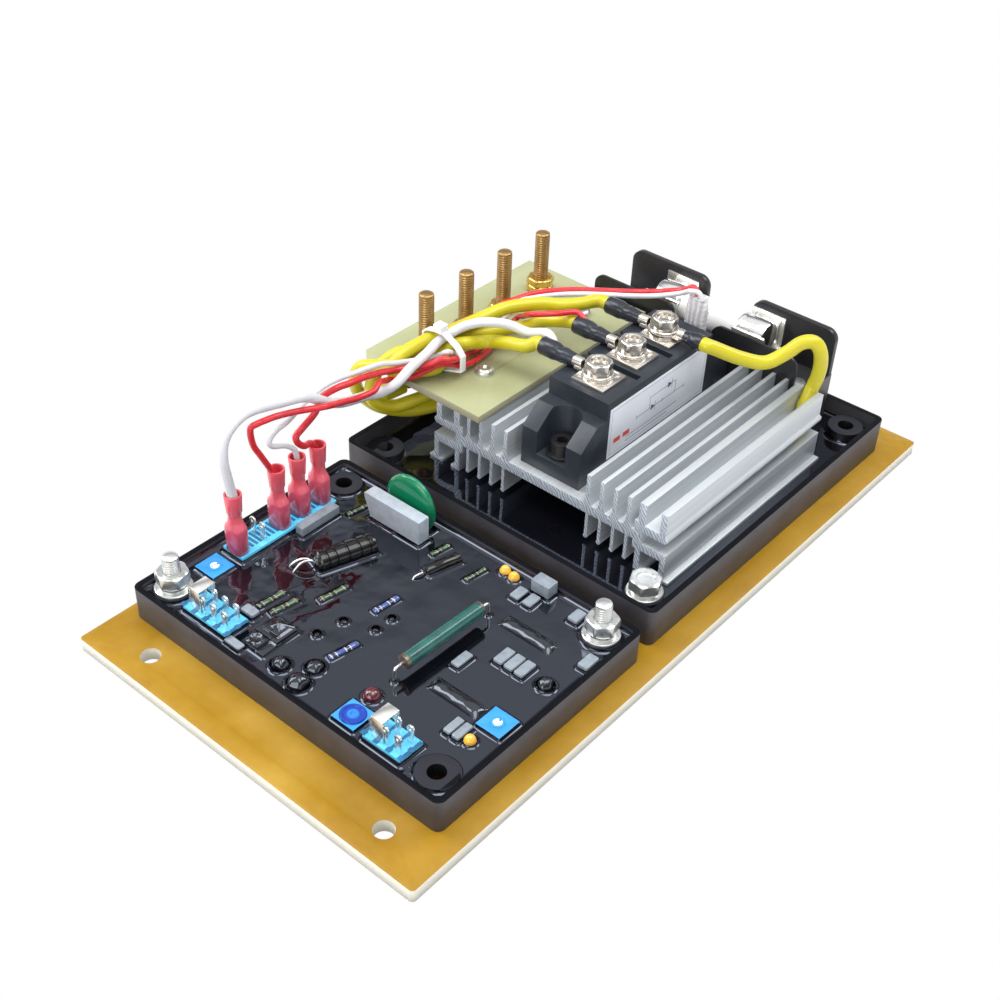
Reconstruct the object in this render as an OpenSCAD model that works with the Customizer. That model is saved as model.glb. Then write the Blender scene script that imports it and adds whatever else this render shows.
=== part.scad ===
// Automatic voltage regulator: two resin-filled trays on one insulating base board.
// The front tray holds the regulator circuit, the back tray carries a finned heat sink
// with a thyristor module, a stud terminal board and a cylindrical fuse in its block.
// Origin: centre of the base board's underside. +X right, +Y towards the fuse, +Z up.

/* [Base board] */
// Width of the base board
board_w = 152; // [130:1:180]
// Length of the base board
board_l = 296; // [260:1:340]
// Thickness of the base board
board_t = 5; // [3:0.5:8]
// Spacing of the mounting holes across the board
board_hole_x = 106.6; // [80:0.2:130]
// How far the hole pattern's middle lies right of the board's middle
board_hole_shift = 1.2; // [-5:0.1:5]
// Spacing of the mounting holes along the board
board_hole_y = 274.8; // [240:0.2:320]
// Diameter of the mounting holes
board_hole_d = 7; // [4:0.5:9]

/* [Regulator tray] */
// Outer width of the front tray
tray1_w = 139.4; // [120:0.2:150]
// Outer length of the front tray
tray1_l = 99.4; // [80:0.2:120]
// Height of the front tray's rim above the board
tray1_h = 12.6; // [8:0.2:20]

/* [Power tray] */
// Outer width of the back tray
tray2_w = 144; // [120:0.2:150]
// Outer length of the back tray
tray2_l = 156.2; // [130:0.2:180]
// Height of the back tray's rim above the board
tray2_h = 14.7; // [8:0.1:20]

/* [Both trays] */
// Wall thickness of the trays
tray_wall = 2.2; // [1.5:0.1:4]
// Floor thickness of the trays
tray_floor = 2; // [1:0.1:4]
// Outer diameter of the corner bosses
boss_d = 13.8; // [10:0.2:18]
// Bore of the corner bosses
boss_bore_d = 6.2; // [4:0.1:8]
// Height of the corner bosses above the board
boss_h = 11.5; // [8:0.1:14]

/* [Heat sink] */
// Length of the extrusion
sink_l = 101; // [80:1:140]
// Height of the fin tops above the board's underside
sink_top = 41; // [35:0.5:60]
// Thickness of a cooling fin
fin_t = 1.6; // [1:0.1:3]

/* [Thyristor module] */
// Length of the module
module_l = 93; // [80:1:110]
// Width of the module
module_w = 26.6; // [20:0.1:36]
// Height of the module
module_h = 30; // [25:0.5:36]
// Spacing of the three power terminals
terminal_pitch = 20; // [18:0.5:25]

/* [Terminal board] */
// Width of the terminal board
tb_w = 61; // [50:1:80]
// Length of the terminal board
tb_l = 102; // [80:1:130]
// Thickness of the terminal board
tb_t = 3; // [2:0.5:5]
// Spacing of the four studs
stud_pitch = 22.5; // [18:0.5:30]
// Thread diameter of the studs
stud_d = 6; // [4:1:8]

/* [Fuse] */
// Diameter of the fuse's end caps
fuse_d = 13.8; // [10:0.1:22]
// Length of the fuse
fuse_l = 51; // [38:1:60]

/* [Hidden] */
$fn = 48;
e = 0.01;

top_z = board_t;
t1 = [-2, -78.5];
t2 = [-5.3, 55.5];
resin1 = 15;
resin2 = 12;
pcb_z = 9;
pcb_t = 1.6;
boss1 = [tray1_w / 2 - 10, tray1_l / 2 - 10];
boss2 = [tray2_w / 2 - 11, tray2_l / 2 - 10.5];
boss_top = top_z + boss_h;
// front tray: nuts on the left front and right back bosses, the other two stay open
stud_at = [[t1.x - boss1.x, t1.y - boss1.y], [t1.x + boss1.x, t1.y + boss1.y]];
// back tray: bolts in the right front and left back bosses
bolt_at = [[t2.x + boss2.x, t2.y - boss2.y], [t2.x - boss2.x, t2.y + boss2.y]];

sink_x = 1.4;
sink_base = 24.5;
seat_z = 28.5;
mx = 0.2;
my0 = 3.8;
my1 = my0 + module_l;
mtop = seat_z + module_h;
shoulder = 14.2;
// the parts in the front tray keep their share of the room between its walls
lay_x = (tray1_w - 2 * tray_wall) / 135;
lay_y = (tray1_l - 2 * tray_wall) / 95;
term_y = [for (i = [0:2]) my0 + 25 + i * terminal_pitch];
bolt_y = [my0 + 6.6, my1 - 6.6];
lug_z = mtop + 1.2;

tb_x0 = -89;
tb_y0 = -3;
tb_z = sink_top;
tb_top = tb_z + tb_t;
stud_x = -71;
// the studs' shank inside the nuts, down to the root of the thread
stud_core = 0.87 * stud_d;
// the last stud stands a little nearer the board's middle than the others
studs = [for (i = [0:3]) [stud_x + (i == 3 ? 0.8 : 0), 15.5 + i * stud_pitch]];
nut_t = 3.2;
tb_screw = [[-45.6, 20.5], [-45.6, 79.5]];
boot_d = 7;
boot_end = -25.4;

fy0 = 101;
fy1 = 120.2;
// position and height of each screw head above the block's floor
block_screw = [[-42, 110, 2.2], [40.7, 105.2, 0.8]];
fuse_x = -3;
fuse_y = 110;
fuse_z = 47.6;
clip_dx = 20.4;
block_floor = 38;

// trimmers: centre x, centre y, rotor radius
trim_a = [-60.6, -101.5, 2.5];
trim_b = [23.2, -118.5, 4.3];
trim_c = [58, -91.1, 2.3];
trim_side = 9.6;
trim_top = 16.4;

out_conn = [-65.5, -55.3, -93.5, -48.8];
link_a = [-52, -31, -122.5, -112.5];
link_b = [31.7, 47.5, -123.2, -113];
conn_top = 17.5;
out_y = [for (i = [0:4]) -91.4 + i * 9.75];
cap_box = [-43.5, -17, -46.3, -41];

module block(x0, x1, y0, y1, z0, z1) {
    translate([x0, y0, z0]) cube([x1 - x0, y1 - y0, z1 - z0]);
}

// moves a part of the front tray with the tray's walls; c is the part's own place
module place(c) {
    translate([(c.x - t1.x) * (lay_x - 1), (c.y - t1.y) * (lay_y - 1), 0]) children();
}

module seated(x0, x1, y0, y1, z0, z1) {
    place([(x0 + x1) / 2, (y0 + y1) / 2]) block(x0, x1, y0, y1, z0, z1);
}

module rod(p, z0, z1, d) {
    translate([p.x, p.y, z0]) cylinder(h = z1 - z0, d = d);
}

module hexagon(p, z0, z1, across) {
    translate([p.x, p.y, z0]) cylinder(h = z1 - z0, d = across / cos(30), $fn = 6);
}

// rounded rectangle drawn from squares and circles, so its corners stay true arcs
module rounded(w, l, r) {
    square([w - 2 * r, l], center = true);
    square([w, l - 2 * r], center = true);
    for (sx = [-1, 1], sy = [-1, 1])
        translate([sx * (w / 2 - r), sy * (l / 2 - r)]) circle(r);
}

// places its children on each corner of a rectangle
module corners(c, half) {
    for (sx = [-1, 1], sy = [-1, 1])
        translate([c.x + sx * half.x, c.y + sy * half.y, 0]) children();
}

// a tube along +X between x0 and x1
module rod_x(x0, x1, y, z, d) {
    translate([x0, y, z]) rotate([0, 90, 0]) cylinder(h = x1 - x0, d = d);
}

// a rod between two points
module bar(a, b, d) {
    v = b - a;
    translate(a) rotate([0, acos(v.z / norm(v)), atan2(v.y, v.x)]) cylinder(h = norm(v), d = d);
}

// a lying part of the front tray
module lying(a, b, d) {
    place((a + b) / 2) bar(a, b, d);
}

module tray(c, w, l, h, half) {
    difference() {
        union() {
            translate([c.x, c.y, top_z]) linear_extrude(tray_floor) rounded(w, l, 3);
            translate([c.x, c.y, top_z]) linear_extrude(h) difference() {
                rounded(w, l, 3);
                rounded(w - 2 * tray_wall, l - 2 * tray_wall, 1.5);
            }
            corners(c, half) rod([0, 0], top_z + 1, boss_top, boss_d);
        }
        corners(c, half) rod([0, 0], top_z - 1, boss_top + 1, boss_bore_d);
    }
}

module circuit(c, w, l, half) {
    difference() {
        translate([c.x, c.y, pcb_z]) linear_extrude(pcb_t) rounded(w - 9, l - 9, 2);
        corners(c, half) rod([0, 0], pcb_z - 1, pcb_z + pcb_t + 1, boss_d + 2);
    }
}

module resin(c, w, l, half, level) {
    difference() {
        translate([c.x, c.y, top_z + tray_floor]) linear_extrude(level - top_z - tray_floor)
            rounded(w - 2 * tray_wall, l - 2 * tray_wall, 1.5);
        corners(c, half) rod([0, 0], top_z, level + 1, boss_d);
        circuit(c, w, l, half);
    }
}

module base_board() {
    color([0.83, 0.66, 0.35]) difference() {
        translate([0, 0, 0]) linear_extrude(board_t) rounded(board_w, board_l, 1.5);
        corners([board_hole_shift, 0], [board_hole_x / 2, board_hole_y / 2])
            rod([0, 0], -1, board_t + 1, board_hole_d);
        for (p = stud_at) rod(p, -1, board_t + 1, boss_bore_d);
        for (p = bolt_at) rod(p, -1, board_t + 1, boss_bore_d);
    }
}

module regulator_tray() {
    color([0.2, 0.19, 0.2]) tray(t1, tray1_w, tray1_l, tray1_h, boss1);
}

module regulator_circuit_board() {
    color([0.2, 0.35, 0.2]) circuit(t1, tray1_w, tray1_l, boss1);
}

module regulator_potting() {
    color([0.3, 0.32, 0.38]) difference() {
        resin(t1, tray1_w, tray1_l, boss1, resin1);
        for (t = [trim_a, trim_b, trim_c])
            seated(t.x - trim_side / 2, t.x + trim_side / 2, t.y - trim_side / 2,
                t.y + trim_side / 2, pcb_z + pcb_t, resin1 + 1);
        for (c = [out_conn, link_a, link_b, cap_box])
            seated(c[0], c[1], c[2], c[3], pcb_z + pcb_t, resin1 + 1);
    }
}

module power_tray() {
    color([0.2, 0.19, 0.2]) tray(t2, tray2_w, tray2_l, tray2_h, boss2);
}

module power_circuit_board() {
    color([0.2, 0.35, 0.2]) translate([0, 0, -0.6]) circuit(t2, tray2_w, tray2_l, boss2);
}

module power_potting() {
    color([0.1, 0.1, 0.12]) difference() {
        translate([t2.x, t2.y, top_z + tray_floor])
            linear_extrude(resin2 - top_z - tray_floor)
            rounded(tray2_w - 2 * tray_wall, tray2_l - 2 * tray_wall, 1.5);
        corners(t2, boss2) rod([0, 0], top_z, resin2 + 1, boss_d);
        power_circuit_board();
    }
}

module tray_studs() {
    color([0.8, 0.8, 0.76]) for (p = stud_at) {
        rod(p, 0.3, 30.2, 5.9);
        translate([p.x, p.y, 30.2 - e]) cylinder(h = 0.8, d1 = 5.9, d2 = 4.6);
    }
}

// flat washer, spring washer and hex nut, bored for the stud
module tray_nuts() {
    color([0.85, 0.85, 0.82]) for (p = stud_at) difference() {
        union() {
            rod(p, boss_top, boss_top + 1.2, 13);
            rod(p, boss_top + 1.2 - e, boss_top + 2.7, 10.2);
            hexagon(p, boss_top + 2.7 - e, boss_top + 7.7, 10.4);
        }
        rod(p, boss_top - 1, boss_top + 9, 6);
    }
}

module tray_bolts() {
    color([0.85, 0.85, 0.82]) for (p = bolt_at) {
        rod(p, 0.3, boss_top + 3, 5.9);
        rod(p, boss_top, boss_top + 1.2, 13);
        rod(p, boss_top + 1.2 - e, boss_top + 2.6, 10.2);
        hexagon(p, boss_top + 2.6 - e, boss_top + 6.6, 10.4);
    }
}

// half of the extrusion's profile: u from the sink's middle, second value is height
module sink_half() {
    translate([-e, sink_base]) square([42, seat_z - sink_base]);
    for (u = [19, 25, 30.8, 36.7]) {
        translate([u - fin_t / 2, seat_z - e]) square([fin_t, sink_top - seat_z]);
        polygon([[u - 1.9, seat_z - e], [u + 1.9, seat_z - e], [u + fin_t / 2, seat_z + 2.4],
            [u - fin_t / 2, seat_z + 2.4]]);
    }
    for (u = [19.5, 25.25, 31, 36.75]) {
        translate([u - 0.65, 14.3]) square([1.3, sink_base - 14.3 + 1]);
        translate([u, 14.4]) circle(0.9);
    }
    // leg, lower web, upper web and the two side walls
    translate([40.9, resin2]) square([2.3, sink_base - resin2 + 1]);
    translate([40.9, resin2]) square([4.2, 1.3]);
    translate([39.5, 20.9]) square([14.1, 3.2]);
    translate([51.4, resin2]) square([2.2, 9]);
    translate([49.4, resin2]) square([6.4, 1.3]);
    translate([39.6, 20.9]) square([3.4, 12]);
    polygon([[40, 28.9], [52.6, 28.9], [53.6, 30], [53.6, 31.2], [52.6, 32], [40, 32.4]]);
    translate([41, 30]) square([3, sink_top - 30]);
    translate([50, 30]) square([2.6, sink_top - 30]);
}

module heat_sink() {
    color([0.8, 0.82, 0.84]) difference() {
        translate([sink_x, sink_l, 0]) rotate([90, 0, 0]) linear_extrude(sink_l) {
            sink_half();
            mirror([1, 0]) sink_half();
        }
        for (y = bolt_y) rod([mx, y], sink_base - 1, seat_z + 1, 5);
        // notch at the far end, where the fourth yellow lead goes down
        block(45.5, 51.3, 93.8, sink_l + 1, resin2 - 1, 33);
    }
}

module module_base() {
    color([0.75, 0.72, 0.66]) difference() {
        block(mx - 10.5, mx + 10.5, my0 + 1.5, my1 - 1.5, seat_z, seat_z + 3);
        for (y = bolt_y) rod([mx, y], seat_z - 1, seat_z + 4, 5.6);
    }
}

// side view of the housing: low flange, sloping shoulder, tall body
module housing_side() {
    polygon([[my0, seat_z], [my0, seat_z + 15.8], [my0 + 8.4, seat_z + 22.8],
        [my0 + shoulder, seat_z + 22.8], [my0 + shoulder, mtop], [my1 - shoulder, mtop],
        [my1 - shoulder, seat_z + 22.8], [my1 - 8.4, seat_z + 22.8], [my1, seat_z + 15.8],
        [my1, seat_z]]);
}

module module_housing() {
    color([0.27, 0.29, 0.32]) difference() {
        translate([mx - module_w / 2, 0, 0]) rotate([90, 0, 90]) linear_extrude(module_w)
            housing_side();
        block(mx - 10.5, mx + 10.5, my0 + 1.5, my1 - 1.5, seat_z - 1, seat_z + 3);
        for (k = [0, 1]) {
            rod([mx, bolt_y[k]], seat_z + 6.4, mtop, 13);
            rod([mx, bolt_y[k]], seat_z - 1, seat_z + 9, 5.6);
        }
        block(mx - 6.5, mx + 6.5, my0 - 1, bolt_y[0], seat_z + 6.4, mtop);
        block(mx - 6.5, mx + 6.5, bolt_y[1], my1 + 1, seat_z + 6.4, mtop);
        // grooves between the terminals
        for (i = [0, 1])
            block(mx - 15, mx + 11, term_y[i] + 8.6, term_y[i] + 11.4, mtop - 3, mtop + 1);
        for (y = term_y) rod([mx, y], mtop - 6, mtop + 1, 5);
    }
}

module module_label() {
    color([0.9, 0.9, 0.93]) block(mx + module_w / 2, mx + module_w / 2 + 0.25,
        19.5, 80, seat_z + 5.4, seat_z + 26.8);
}

module module_terminals() {
    color([0.8, 0.78, 0.72]) for (y = term_y) difference() {
        block(mx - 6.4, mx + 7.8, y - 7.2, y + 6.6, mtop, lug_z);
        rod([mx, y], mtop - 1, lug_z + 1, 5.4);
    }
}

// flat washer, spring washer and hex head; the thread runs down into the housing
module module_screws() {
    color([0.86, 0.84, 0.8]) for (i = [0:2]) {
        p = [mx, term_y[i]];
        z = lug_z + (i == 2 ? 2 : 1);
        rod(p, mtop - 5, z + 1, 4.9);
        rod(p, z, z + 0.8, 11.4);
        rod(p, z + 0.8 - e, z + 1.9, 8.6);
        hexagon(p, z + 1.9 - e, z + 5.2, 9);
    }
}

module module_bolts() {
    color([0.1, 0.1, 0.1]) for (y = bolt_y) difference() {
        union() {
            rod([mx, y], sink_base + 0.5, seat_z + 7, 4.9);
            rod([mx, y], seat_z + 6.4, seat_z + 7.4, 11);
            rod([mx, y], seat_z + 7.4 - e, seat_z + 12.4, 8.5);
        }
        hexagon([mx, y], seat_z + 9.6, seat_z + 13, 4);
    }
}

// ring lug: flat ring and the tongue that runs to the boot
module lug(y, z, side) {
    difference() {
        union() {
            rod([mx, y], z, z + 1, 12);
            block(mx + min(0, side * 9.2), mx + max(0, side * 9.2), y - 2.4, y + 2.4, z, z + 1);
        }
        rod([mx, y], z - 1, z + 2, 5.4);
    }
}

module ring_lugs() {
    color([0.8, 0.76, 0.7]) {
        lug(term_y[0], lug_z, -1);
        lug(term_y[1], lug_z, -1);
        lug(term_y[2], lug_z, -1);
        lug(term_y[2], lug_z + 1, 1);
        for (i = [0:2]) difference() {
            bar(stud_boots[i][1], [studs[i].x, studs[i].y, tb_z - 0.9], 1.6);
            bar(stud_boots[i][0], stud_boots[i][1], 5.5);
            rod(studs[i], tb_z - 9, tb_z, 11.4);
        }
    }
}

// boots start where each lug's tongue ends
module lug_boots() {
    color([0.12, 0.12, 0.13]) {
        for (y = term_y) {
            bar([mx - 9.2, y, lug_z + 1.6], [mx - 14.5, y, lug_z + 1.6], 5.2);
            bar([mx - 14.5 + e, y, lug_z + 1.6], [boot_end, y, lug_z + 1.6], boot_d);
        }
        bar([mx + 9.2, term_y[2], lug_z + 2.6], [mx + 17.5, term_y[2], lug_z + 2.6], 6.2);
        for (p = stud_boots) bar(p[0], p[1], 5.4);
    }
}

module terminal_board() {
    color([0.78, 0.79, 0.6]) difference() {
        translate([tb_x0, tb_y0, tb_z]) linear_extrude(tb_t)
            polygon([[5, 0], [tb_w, 0], [tb_w, tb_l], [0, tb_l], [0, 4]]);
        for (p = studs) rod(p, tb_z - 1, tb_top + 1, stud_d + 0.02);
        for (p = tb_screw) rod(p, tb_z - 1, tb_top + 1, 4.02);
    }
}

module terminal_studs() {
    color([0.6, 0.45, 0.26]) for (i = [0:3]) {
        p = studs[i];
        z = tb_top + nut_t * (i == 3 ? 2 : 1);
        rod(p, 33.5, z, stud_core);
        rod(p, z, 69.4, stud_d);
        translate([p.x, p.y, 69.4 - e]) cylinder(h = 1.1, d1 = stud_d, d2 = 4.2);
    }
}

// one brass nut on each face of the board, and a second one on the far stud
module terminal_nuts() {
    color([0.76, 0.6, 0.28]) for (i = [0:3]) difference() {
        union() {
            hexagon(studs[i], tb_top, tb_top + nut_t, 10);
            hexagon(studs[i], tb_z - nut_t - 1, tb_z - 1, 10);
            rod(studs[i], tb_z - 1 - e, tb_z, 11.4);
            if (i == 3) hexagon(studs[i], tb_top + nut_t - e, tb_top + 2 * nut_t, 9.9);
        }
        rod(studs[i], tb_z - 10, tb_top + 12, stud_core + 0.02);
    }
}

// pan head screws, each with a square nut held in the sink's channel
module terminal_board_screws() {
    color([0.8, 0.82, 0.84]) for (p = tb_screw) {
        rod(p, 33.5, tb_top + 1, 4);
        rod(p, tb_top, tb_top + 1.4, 7.4);
        translate([p.x, p.y, tb_top + 1.4 - e]) cylinder(h = 1, d1 = 7.4, d2 = 5);
        block(p.x - 2.9, p.x + 2.9, p.y - 3.5, p.y + 3.5, 35, 38);
    }
}

// upright plate with rounded top corners; y is its rear face, half its half width
module flap(x, y, t, half, h) {
    translate([x, y, block_floor - e]) rotate([90, 0, 0]) linear_extrude(t) {
        translate([-half, 0]) square([2 * half, h - 4.5]);
        translate([4.5 - half, 0]) square([2 * half - 9, h]);
        for (k = [-1, 1]) translate([k * (half - 4.5), h - 4.5]) circle(4.5);
    }
}

// tall rear flaps, low front flaps and a solid foot standing on the resin
module fuse_block() {
    color([0.1, 0.1, 0.11]) difference() {
        union() {
            block(-55.6, 46.8, fy0, fy1, 25, block_floor);
            block(-50, 46.8, fy0, fy1, resin2, 25 + e);
            for (x = [-30.6, 28]) flap(x, fy1, 2.4, 18.6, 19.4);
            for (x = [-36.2, 21.6]) flap(x, fy0 + 1.2, 1.2, 19.4, 12.4);
        }
        for (p = block_screw) {
            rod(p, block_floor - 8, block_floor + 1, 3.72);
            if (p[2] < 2) rod(p, block_floor + p[2] - 2.2, block_floor + 1, 5.7);
        }
        // notch for the fourth yellow lead
        block(45.2, 47, fy0 - 1, 104.4, 33, block_floor + 1);
    }
}

// U-shaped clips: base, tall rear arm, front arm with a turned-out lip
module clip(x) {
    translate([x - 7.5, 0, 0]) rotate([90, 0, 90]) linear_extrude(15) {
        translate([fuse_y - 7.7, block_floor]) square([15.4, 0.8]);
        translate([fuse_y - 7.7, block_floor]) square([0.8, 13]);
        translate([fuse_y + 6.9, block_floor]) square([0.8, 16.8]);
        polygon([[fuse_y - 7.7, block_floor + 12.9], [fuse_y - 6.9, block_floor + 12.9],
            [fuse_y - 7.9, block_floor + 14.6], [fuse_y - 8.6, block_floor + 14.2]]);
    }
}

module fuse_clips() {
    color([0.8, 0.79, 0.74]) for (s = [-1, 1]) clip(fuse_x + s * clip_dx);
}

module fuse_body() {
    color([0.93, 0.92, 0.9])
        rod_x(fuse_x - fuse_l / 2 + 12.5, fuse_x + fuse_l / 2 - 12.5, fuse_y, fuse_z, fuse_d - 1);
}

module fuse_caps() {
    color([0.82, 0.82, 0.8]) for (s = [-1, 1]) {
        a = fuse_x + s * (fuse_l / 2 - 12.5);
        b = fuse_x + s * fuse_l / 2;
        rod_x(min(a, b), max(a, b), fuse_y, fuse_z, fuse_d);
    }
}

module fuse_block_screws() {
    color([0.78, 0.84, 0.86]) for (p = block_screw) {
        rod(p, block_floor - 7, block_floor + p[2] - 1, 3.7);
        rod(p, block_floor + p[2] - 2.2, block_floor + p[2], 5.6);
    }
}

// square trimmer: its rotor turns in a blind round pocket
module trimmer_body(t) {
    place(t) difference() {
        block(t.x - trim_side / 2, t.x + trim_side / 2, t.y - trim_side / 2,
            t.y + trim_side / 2, pcb_z + pcb_t, trim_top);
        rod([t.x, t.y], trim_top - 3, trim_top + 1, 2 * t[2] + 0.1);
    }
}

module trimmer_rotor(t, proud) {
    place(t) difference() {
        rod([t.x, t.y], trim_top - 2.95, trim_top + proud, 2 * t[2]);
        block(t.x - 0.45, t.x + 0.45, t.y - t[2] * 0.72, t.y + t[2] * 0.72,
            trim_top + proud - 0.9, trim_top + 2);
    }
}

module trimmer_a_body() {
    color([0.2, 0.56, 0.87]) trimmer_body(trim_a);
}

module trimmer_a_rotor() {
    color([0.93, 0.93, 0.9]) trimmer_rotor(trim_a, 0.15);
}

module trimmer_b_body() {
    color([0.2, 0.5, 0.85]) trimmer_body(trim_b);
}

module trimmer_b_rotor() {
    color([0.12, 0.3, 0.7]) trimmer_rotor(trim_b, 0.5);
}

module trimmer_c_body() {
    color([0.2, 0.56, 0.87]) trimmer_body(trim_c);
}

module trimmer_c_rotor() {
    color([0.93, 0.93, 0.9]) trimmer_rotor(trim_c, 0.15);
}

function middle(c) = [(c[0] + c[1]) / 2, (c[2] + c[3]) / 2];

module output_connector() {
    color([0.36, 0.78, 0.94])
        seated(out_conn[0], out_conn[1], out_conn[2], out_conn[3], pcb_z + pcb_t, conn_top);
}

module link_connector_a() {
    color([0.36, 0.78, 0.94])
        seated(link_a[0], link_a[1], link_a[2], link_a[3], pcb_z + pcb_t, conn_top);
}

module link_connector_b() {
    color([0.36, 0.78, 0.94])
        seated(link_b[0], link_b[1], link_b[2], link_b[3], pcb_z + pcb_t, conn_top);
}

// upright contact blade with a round eye at its tip
module eyelet(x, y, h) {
    difference() {
        union() {
            block(x - 1.1, x + 1.1, y - 0.3, y + 0.3, conn_top, conn_top + h - 1.5);
            translate([x, y + 0.3, conn_top + h - 1.5]) rotate([90, 0, 0])
                cylinder(h = 0.6, r = 1.5, $fn = 24);
        }
        translate([x, y + 1, conn_top + h - 1.5]) rotate([90, 0, 0])
            cylinder(h = 2, r = 0.6, $fn = 16);
    }
}

module contact_tabs() {
    color([0.84, 0.83, 0.8]) {
        place(middle(link_a)) for (x = [-49.6, -44.2, -38.8, -33.4], y = [-120.2, -115])
            eyelet(x, y, 7);
        place(middle(link_b)) for (x = [34.2, 39.4, 44.6], y = [-120.9, -115.4])
            eyelet(x, y, 7);
        place(middle(out_conn)) for (x = [-62.8, -58]) eyelet(x, out_y[1], 7.5);
    }
}

// bent strap that bridges the two eyelets of one column
module strap(x, y0, y1) {
    block(x - 2.4, x + 2.4, y0 - 0.9, y0 - 0.5, conn_top, conn_top + 9);
    block(x - 2.4, x + 2.4, y1 + 0.5, y1 + 0.9, conn_top + 4, conn_top + 9);
    block(x - 2.4, x + 2.4, y0 - 0.9, y1 + 0.9, conn_top + 8.5, conn_top + 9);
}

module shorting_links() {
    color([0.82, 0.82, 0.8]) {
        place(middle(link_a)) strap(-46.9, -120.2, -115);
        place(middle(link_b)) strap(36.8, -120.9, -115.4);
    }
}

// insulated receptacle: wide pocket, waist and a flared wire end
module sleeve(y) {
    translate([-60.1, y, conn_top]) difference() {
        union() {
            linear_extrude(11.5) rounded(8.2, 6, 2.4);
            translate([0, 0, 11.5 - e]) cylinder(h = 3.2, d1 = 6.4, d2 = 4.8);
            translate([0, 0, 14.7 - 2 * e]) cylinder(h = 2.3, d = 4.8);
            translate([0, 0, 17 - 3 * e]) cylinder(h = 7.4, d1 = 5.6, d2 = 6.4);
        }
        translate([0, 0, 19]) cylinder(h = 9, d = 4.8);
    }
}

module faston_sleeves() {
    color([0.86, 0.3, 0.36]) place(middle(out_conn))
        for (i = [0, 2, 3, 4]) sleeve(out_y[i]);
}

// soft sleeve over the module's gate tabs, drawn in at the top
module gate_sleeve() {
    color([0.86, 0.86, 0.9]) difference() {
        translate([3.6, 85.6, seat_z + 22.8]) union() {
            linear_extrude(13.5) rounded(9.2, 5.2, 2.2);
            translate([0, 0, 13.5 - e]) linear_extrude(4.5) rounded(7.8, 5, 2.2);
        }
        rod([3.2, 86.5], 68.4, 72, 2.9);
        rod([6, 84.6], 68.4, 72, 2.4);
    }
}

// box capacitor with the lower left edge cut back
module film_capacitor() {
    color([0.66, 0.69, 0.72]) place(middle(cap_box)) translate([0, cap_box[3], 0])
        rotate([90, 0, 0]) linear_extrude(cap_box[3] - cap_box[2])
        polygon([[cap_box[0] + 2.2, 10.6], [cap_box[1], 10.6], [cap_box[1], 26.2],
            [cap_box[0], 26.2], [cap_box[0], 23.4], [cap_box[0] + 2.2, 17.4]]);
}

module varistor() {
    color([0, 0.5, 0.33]) place([-29.6, -36.6]) intersection() {
        translate([-29.6, -34.6, 23.2]) rotate([90, 0, 0]) union() {
            cylinder(h = 4, r = 11.2);
            translate([0, 0, 0.9]) cylinder(h = 2.2, r = 11.6);
        }
        block(-60, 0, -60, -20, resin1, 60);
    }
}

module power_resistor() {
    c = [22.8, -77.5];
    color([0.25, 0.45, 0.4]) place(c) bar([22.3, -95.4, 21], [23.4, -59.6, 21], 5.3);
    color([0.75, 0.75, 0.72]) place(c) {
        bar([22.3, -95.4, 21], [22.2, -99.2, 21], 1.1);
        bar([22.2, -99.2, 21.5], [22.2, -99.2, resin1], 1.1);
        bar([23.4, -59.6, 21], [23.5, -55.8, 21], 1.1);
        bar([23.5, -55.8, 21.5], [23.5, -55.8, resin1], 1.1);
    }
}

// lying parts sit half in the resin: only what stands above it is drawn
module above_resin() {
    intersection() {
        children();
        block(-70, 66, -127, -30, resin1, 60);
    }
}

module electrolytics() {
    color([0.12, 0.12, 0.14]) above_resin() {
        lying([-36, -78, 16.6], [-29, -56.6, 16.6], 9);
        lying([-6, -54.4, 15.8], [-2.8, -41.4, 15.8], 5);
    }
}

module box_capacitors() {
    color([0.66, 0.7, 0.72]) {
        seated(-53.9, -50.1, -70.4, -52.1, resin1, 19.6);
        seated(-37.4, -31.4, -110.6, -107, resin1, 17.4);
        seated(-30.6, -23.4, -123.6, -120.6, resin1, 16.8);
        seated(30.2, 33.6, -82, -74.4, resin1, 17);
        place([45.3, -68]) for (i = [0:2])
            block(39.2 + i * 4.3, 42.8 + i * 4.3, -71.8, -64.2, resin1, 17.2);
        place([51, -101.3]) for (i = [0:1])
            block(47.8 + i * 3.5, 50.6 + i * 3.5, -105, -97.6, resin1, 17.2);
        seated(23, 26.8, -44.6, -38.4, resin1, 17);
        seated(28.4, 32.2, -44.6, -38.4, resin1, 17);
        seated(26.2, 34, -37.2, -31.9, resin1, 21);
        seated(44.6, 48.6, -40.4, -34.4, resin1, 17.4);
        seated(60.6, 64.6, -55.4, -48.4, resin1, 17.4);
    }
}

module small_resistors() {
    color([0.3, 0.42, 0.3]) above_resin() {
        lying([-35.1, -105.2, resin1], [-34.1, -93.6, resin1], 2.8);
        lying([-29.7, -104.6, resin1], [-28, -93.4, resin1], 2.8);
        lying([-22.5, -89.2, resin1], [-20.6, -77.4, resin1], 2.8);
        lying([-5.2, -80.8, resin1], [-4.2, -70, resin1], 2.8);
        lying([-0.4, -106, resin1], [1.6, -94.8, resin1], 2.8);
        lying([-48.2, -50.6, resin1], [-46.8, -42, resin1], 2.4);
        lying([-11.2, -46.4, resin1], [-10, -38, resin1], 2.4);
        lying([6.4, -48.4, resin1], [7.6, -39, resin1], 2.2);
    }
}

module transistor() {
    color([0.16, 0.16, 0.18]) place([-21.2, -112.2]) difference() {
        union() {
            block(-26.4, -15.9, -119.8, -104.6, resin1, 16.2);
            block(-26.2, -16.1, -113.6, -104.8, 16.2 - e, 17.4);
            block(-24.4, -17.9, -112, -106.4, 17.4 - e, 18.4);
        }
        rod([-21.2, -116.6], resin1 - 1, 18, 3.6);
    }
}

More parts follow.
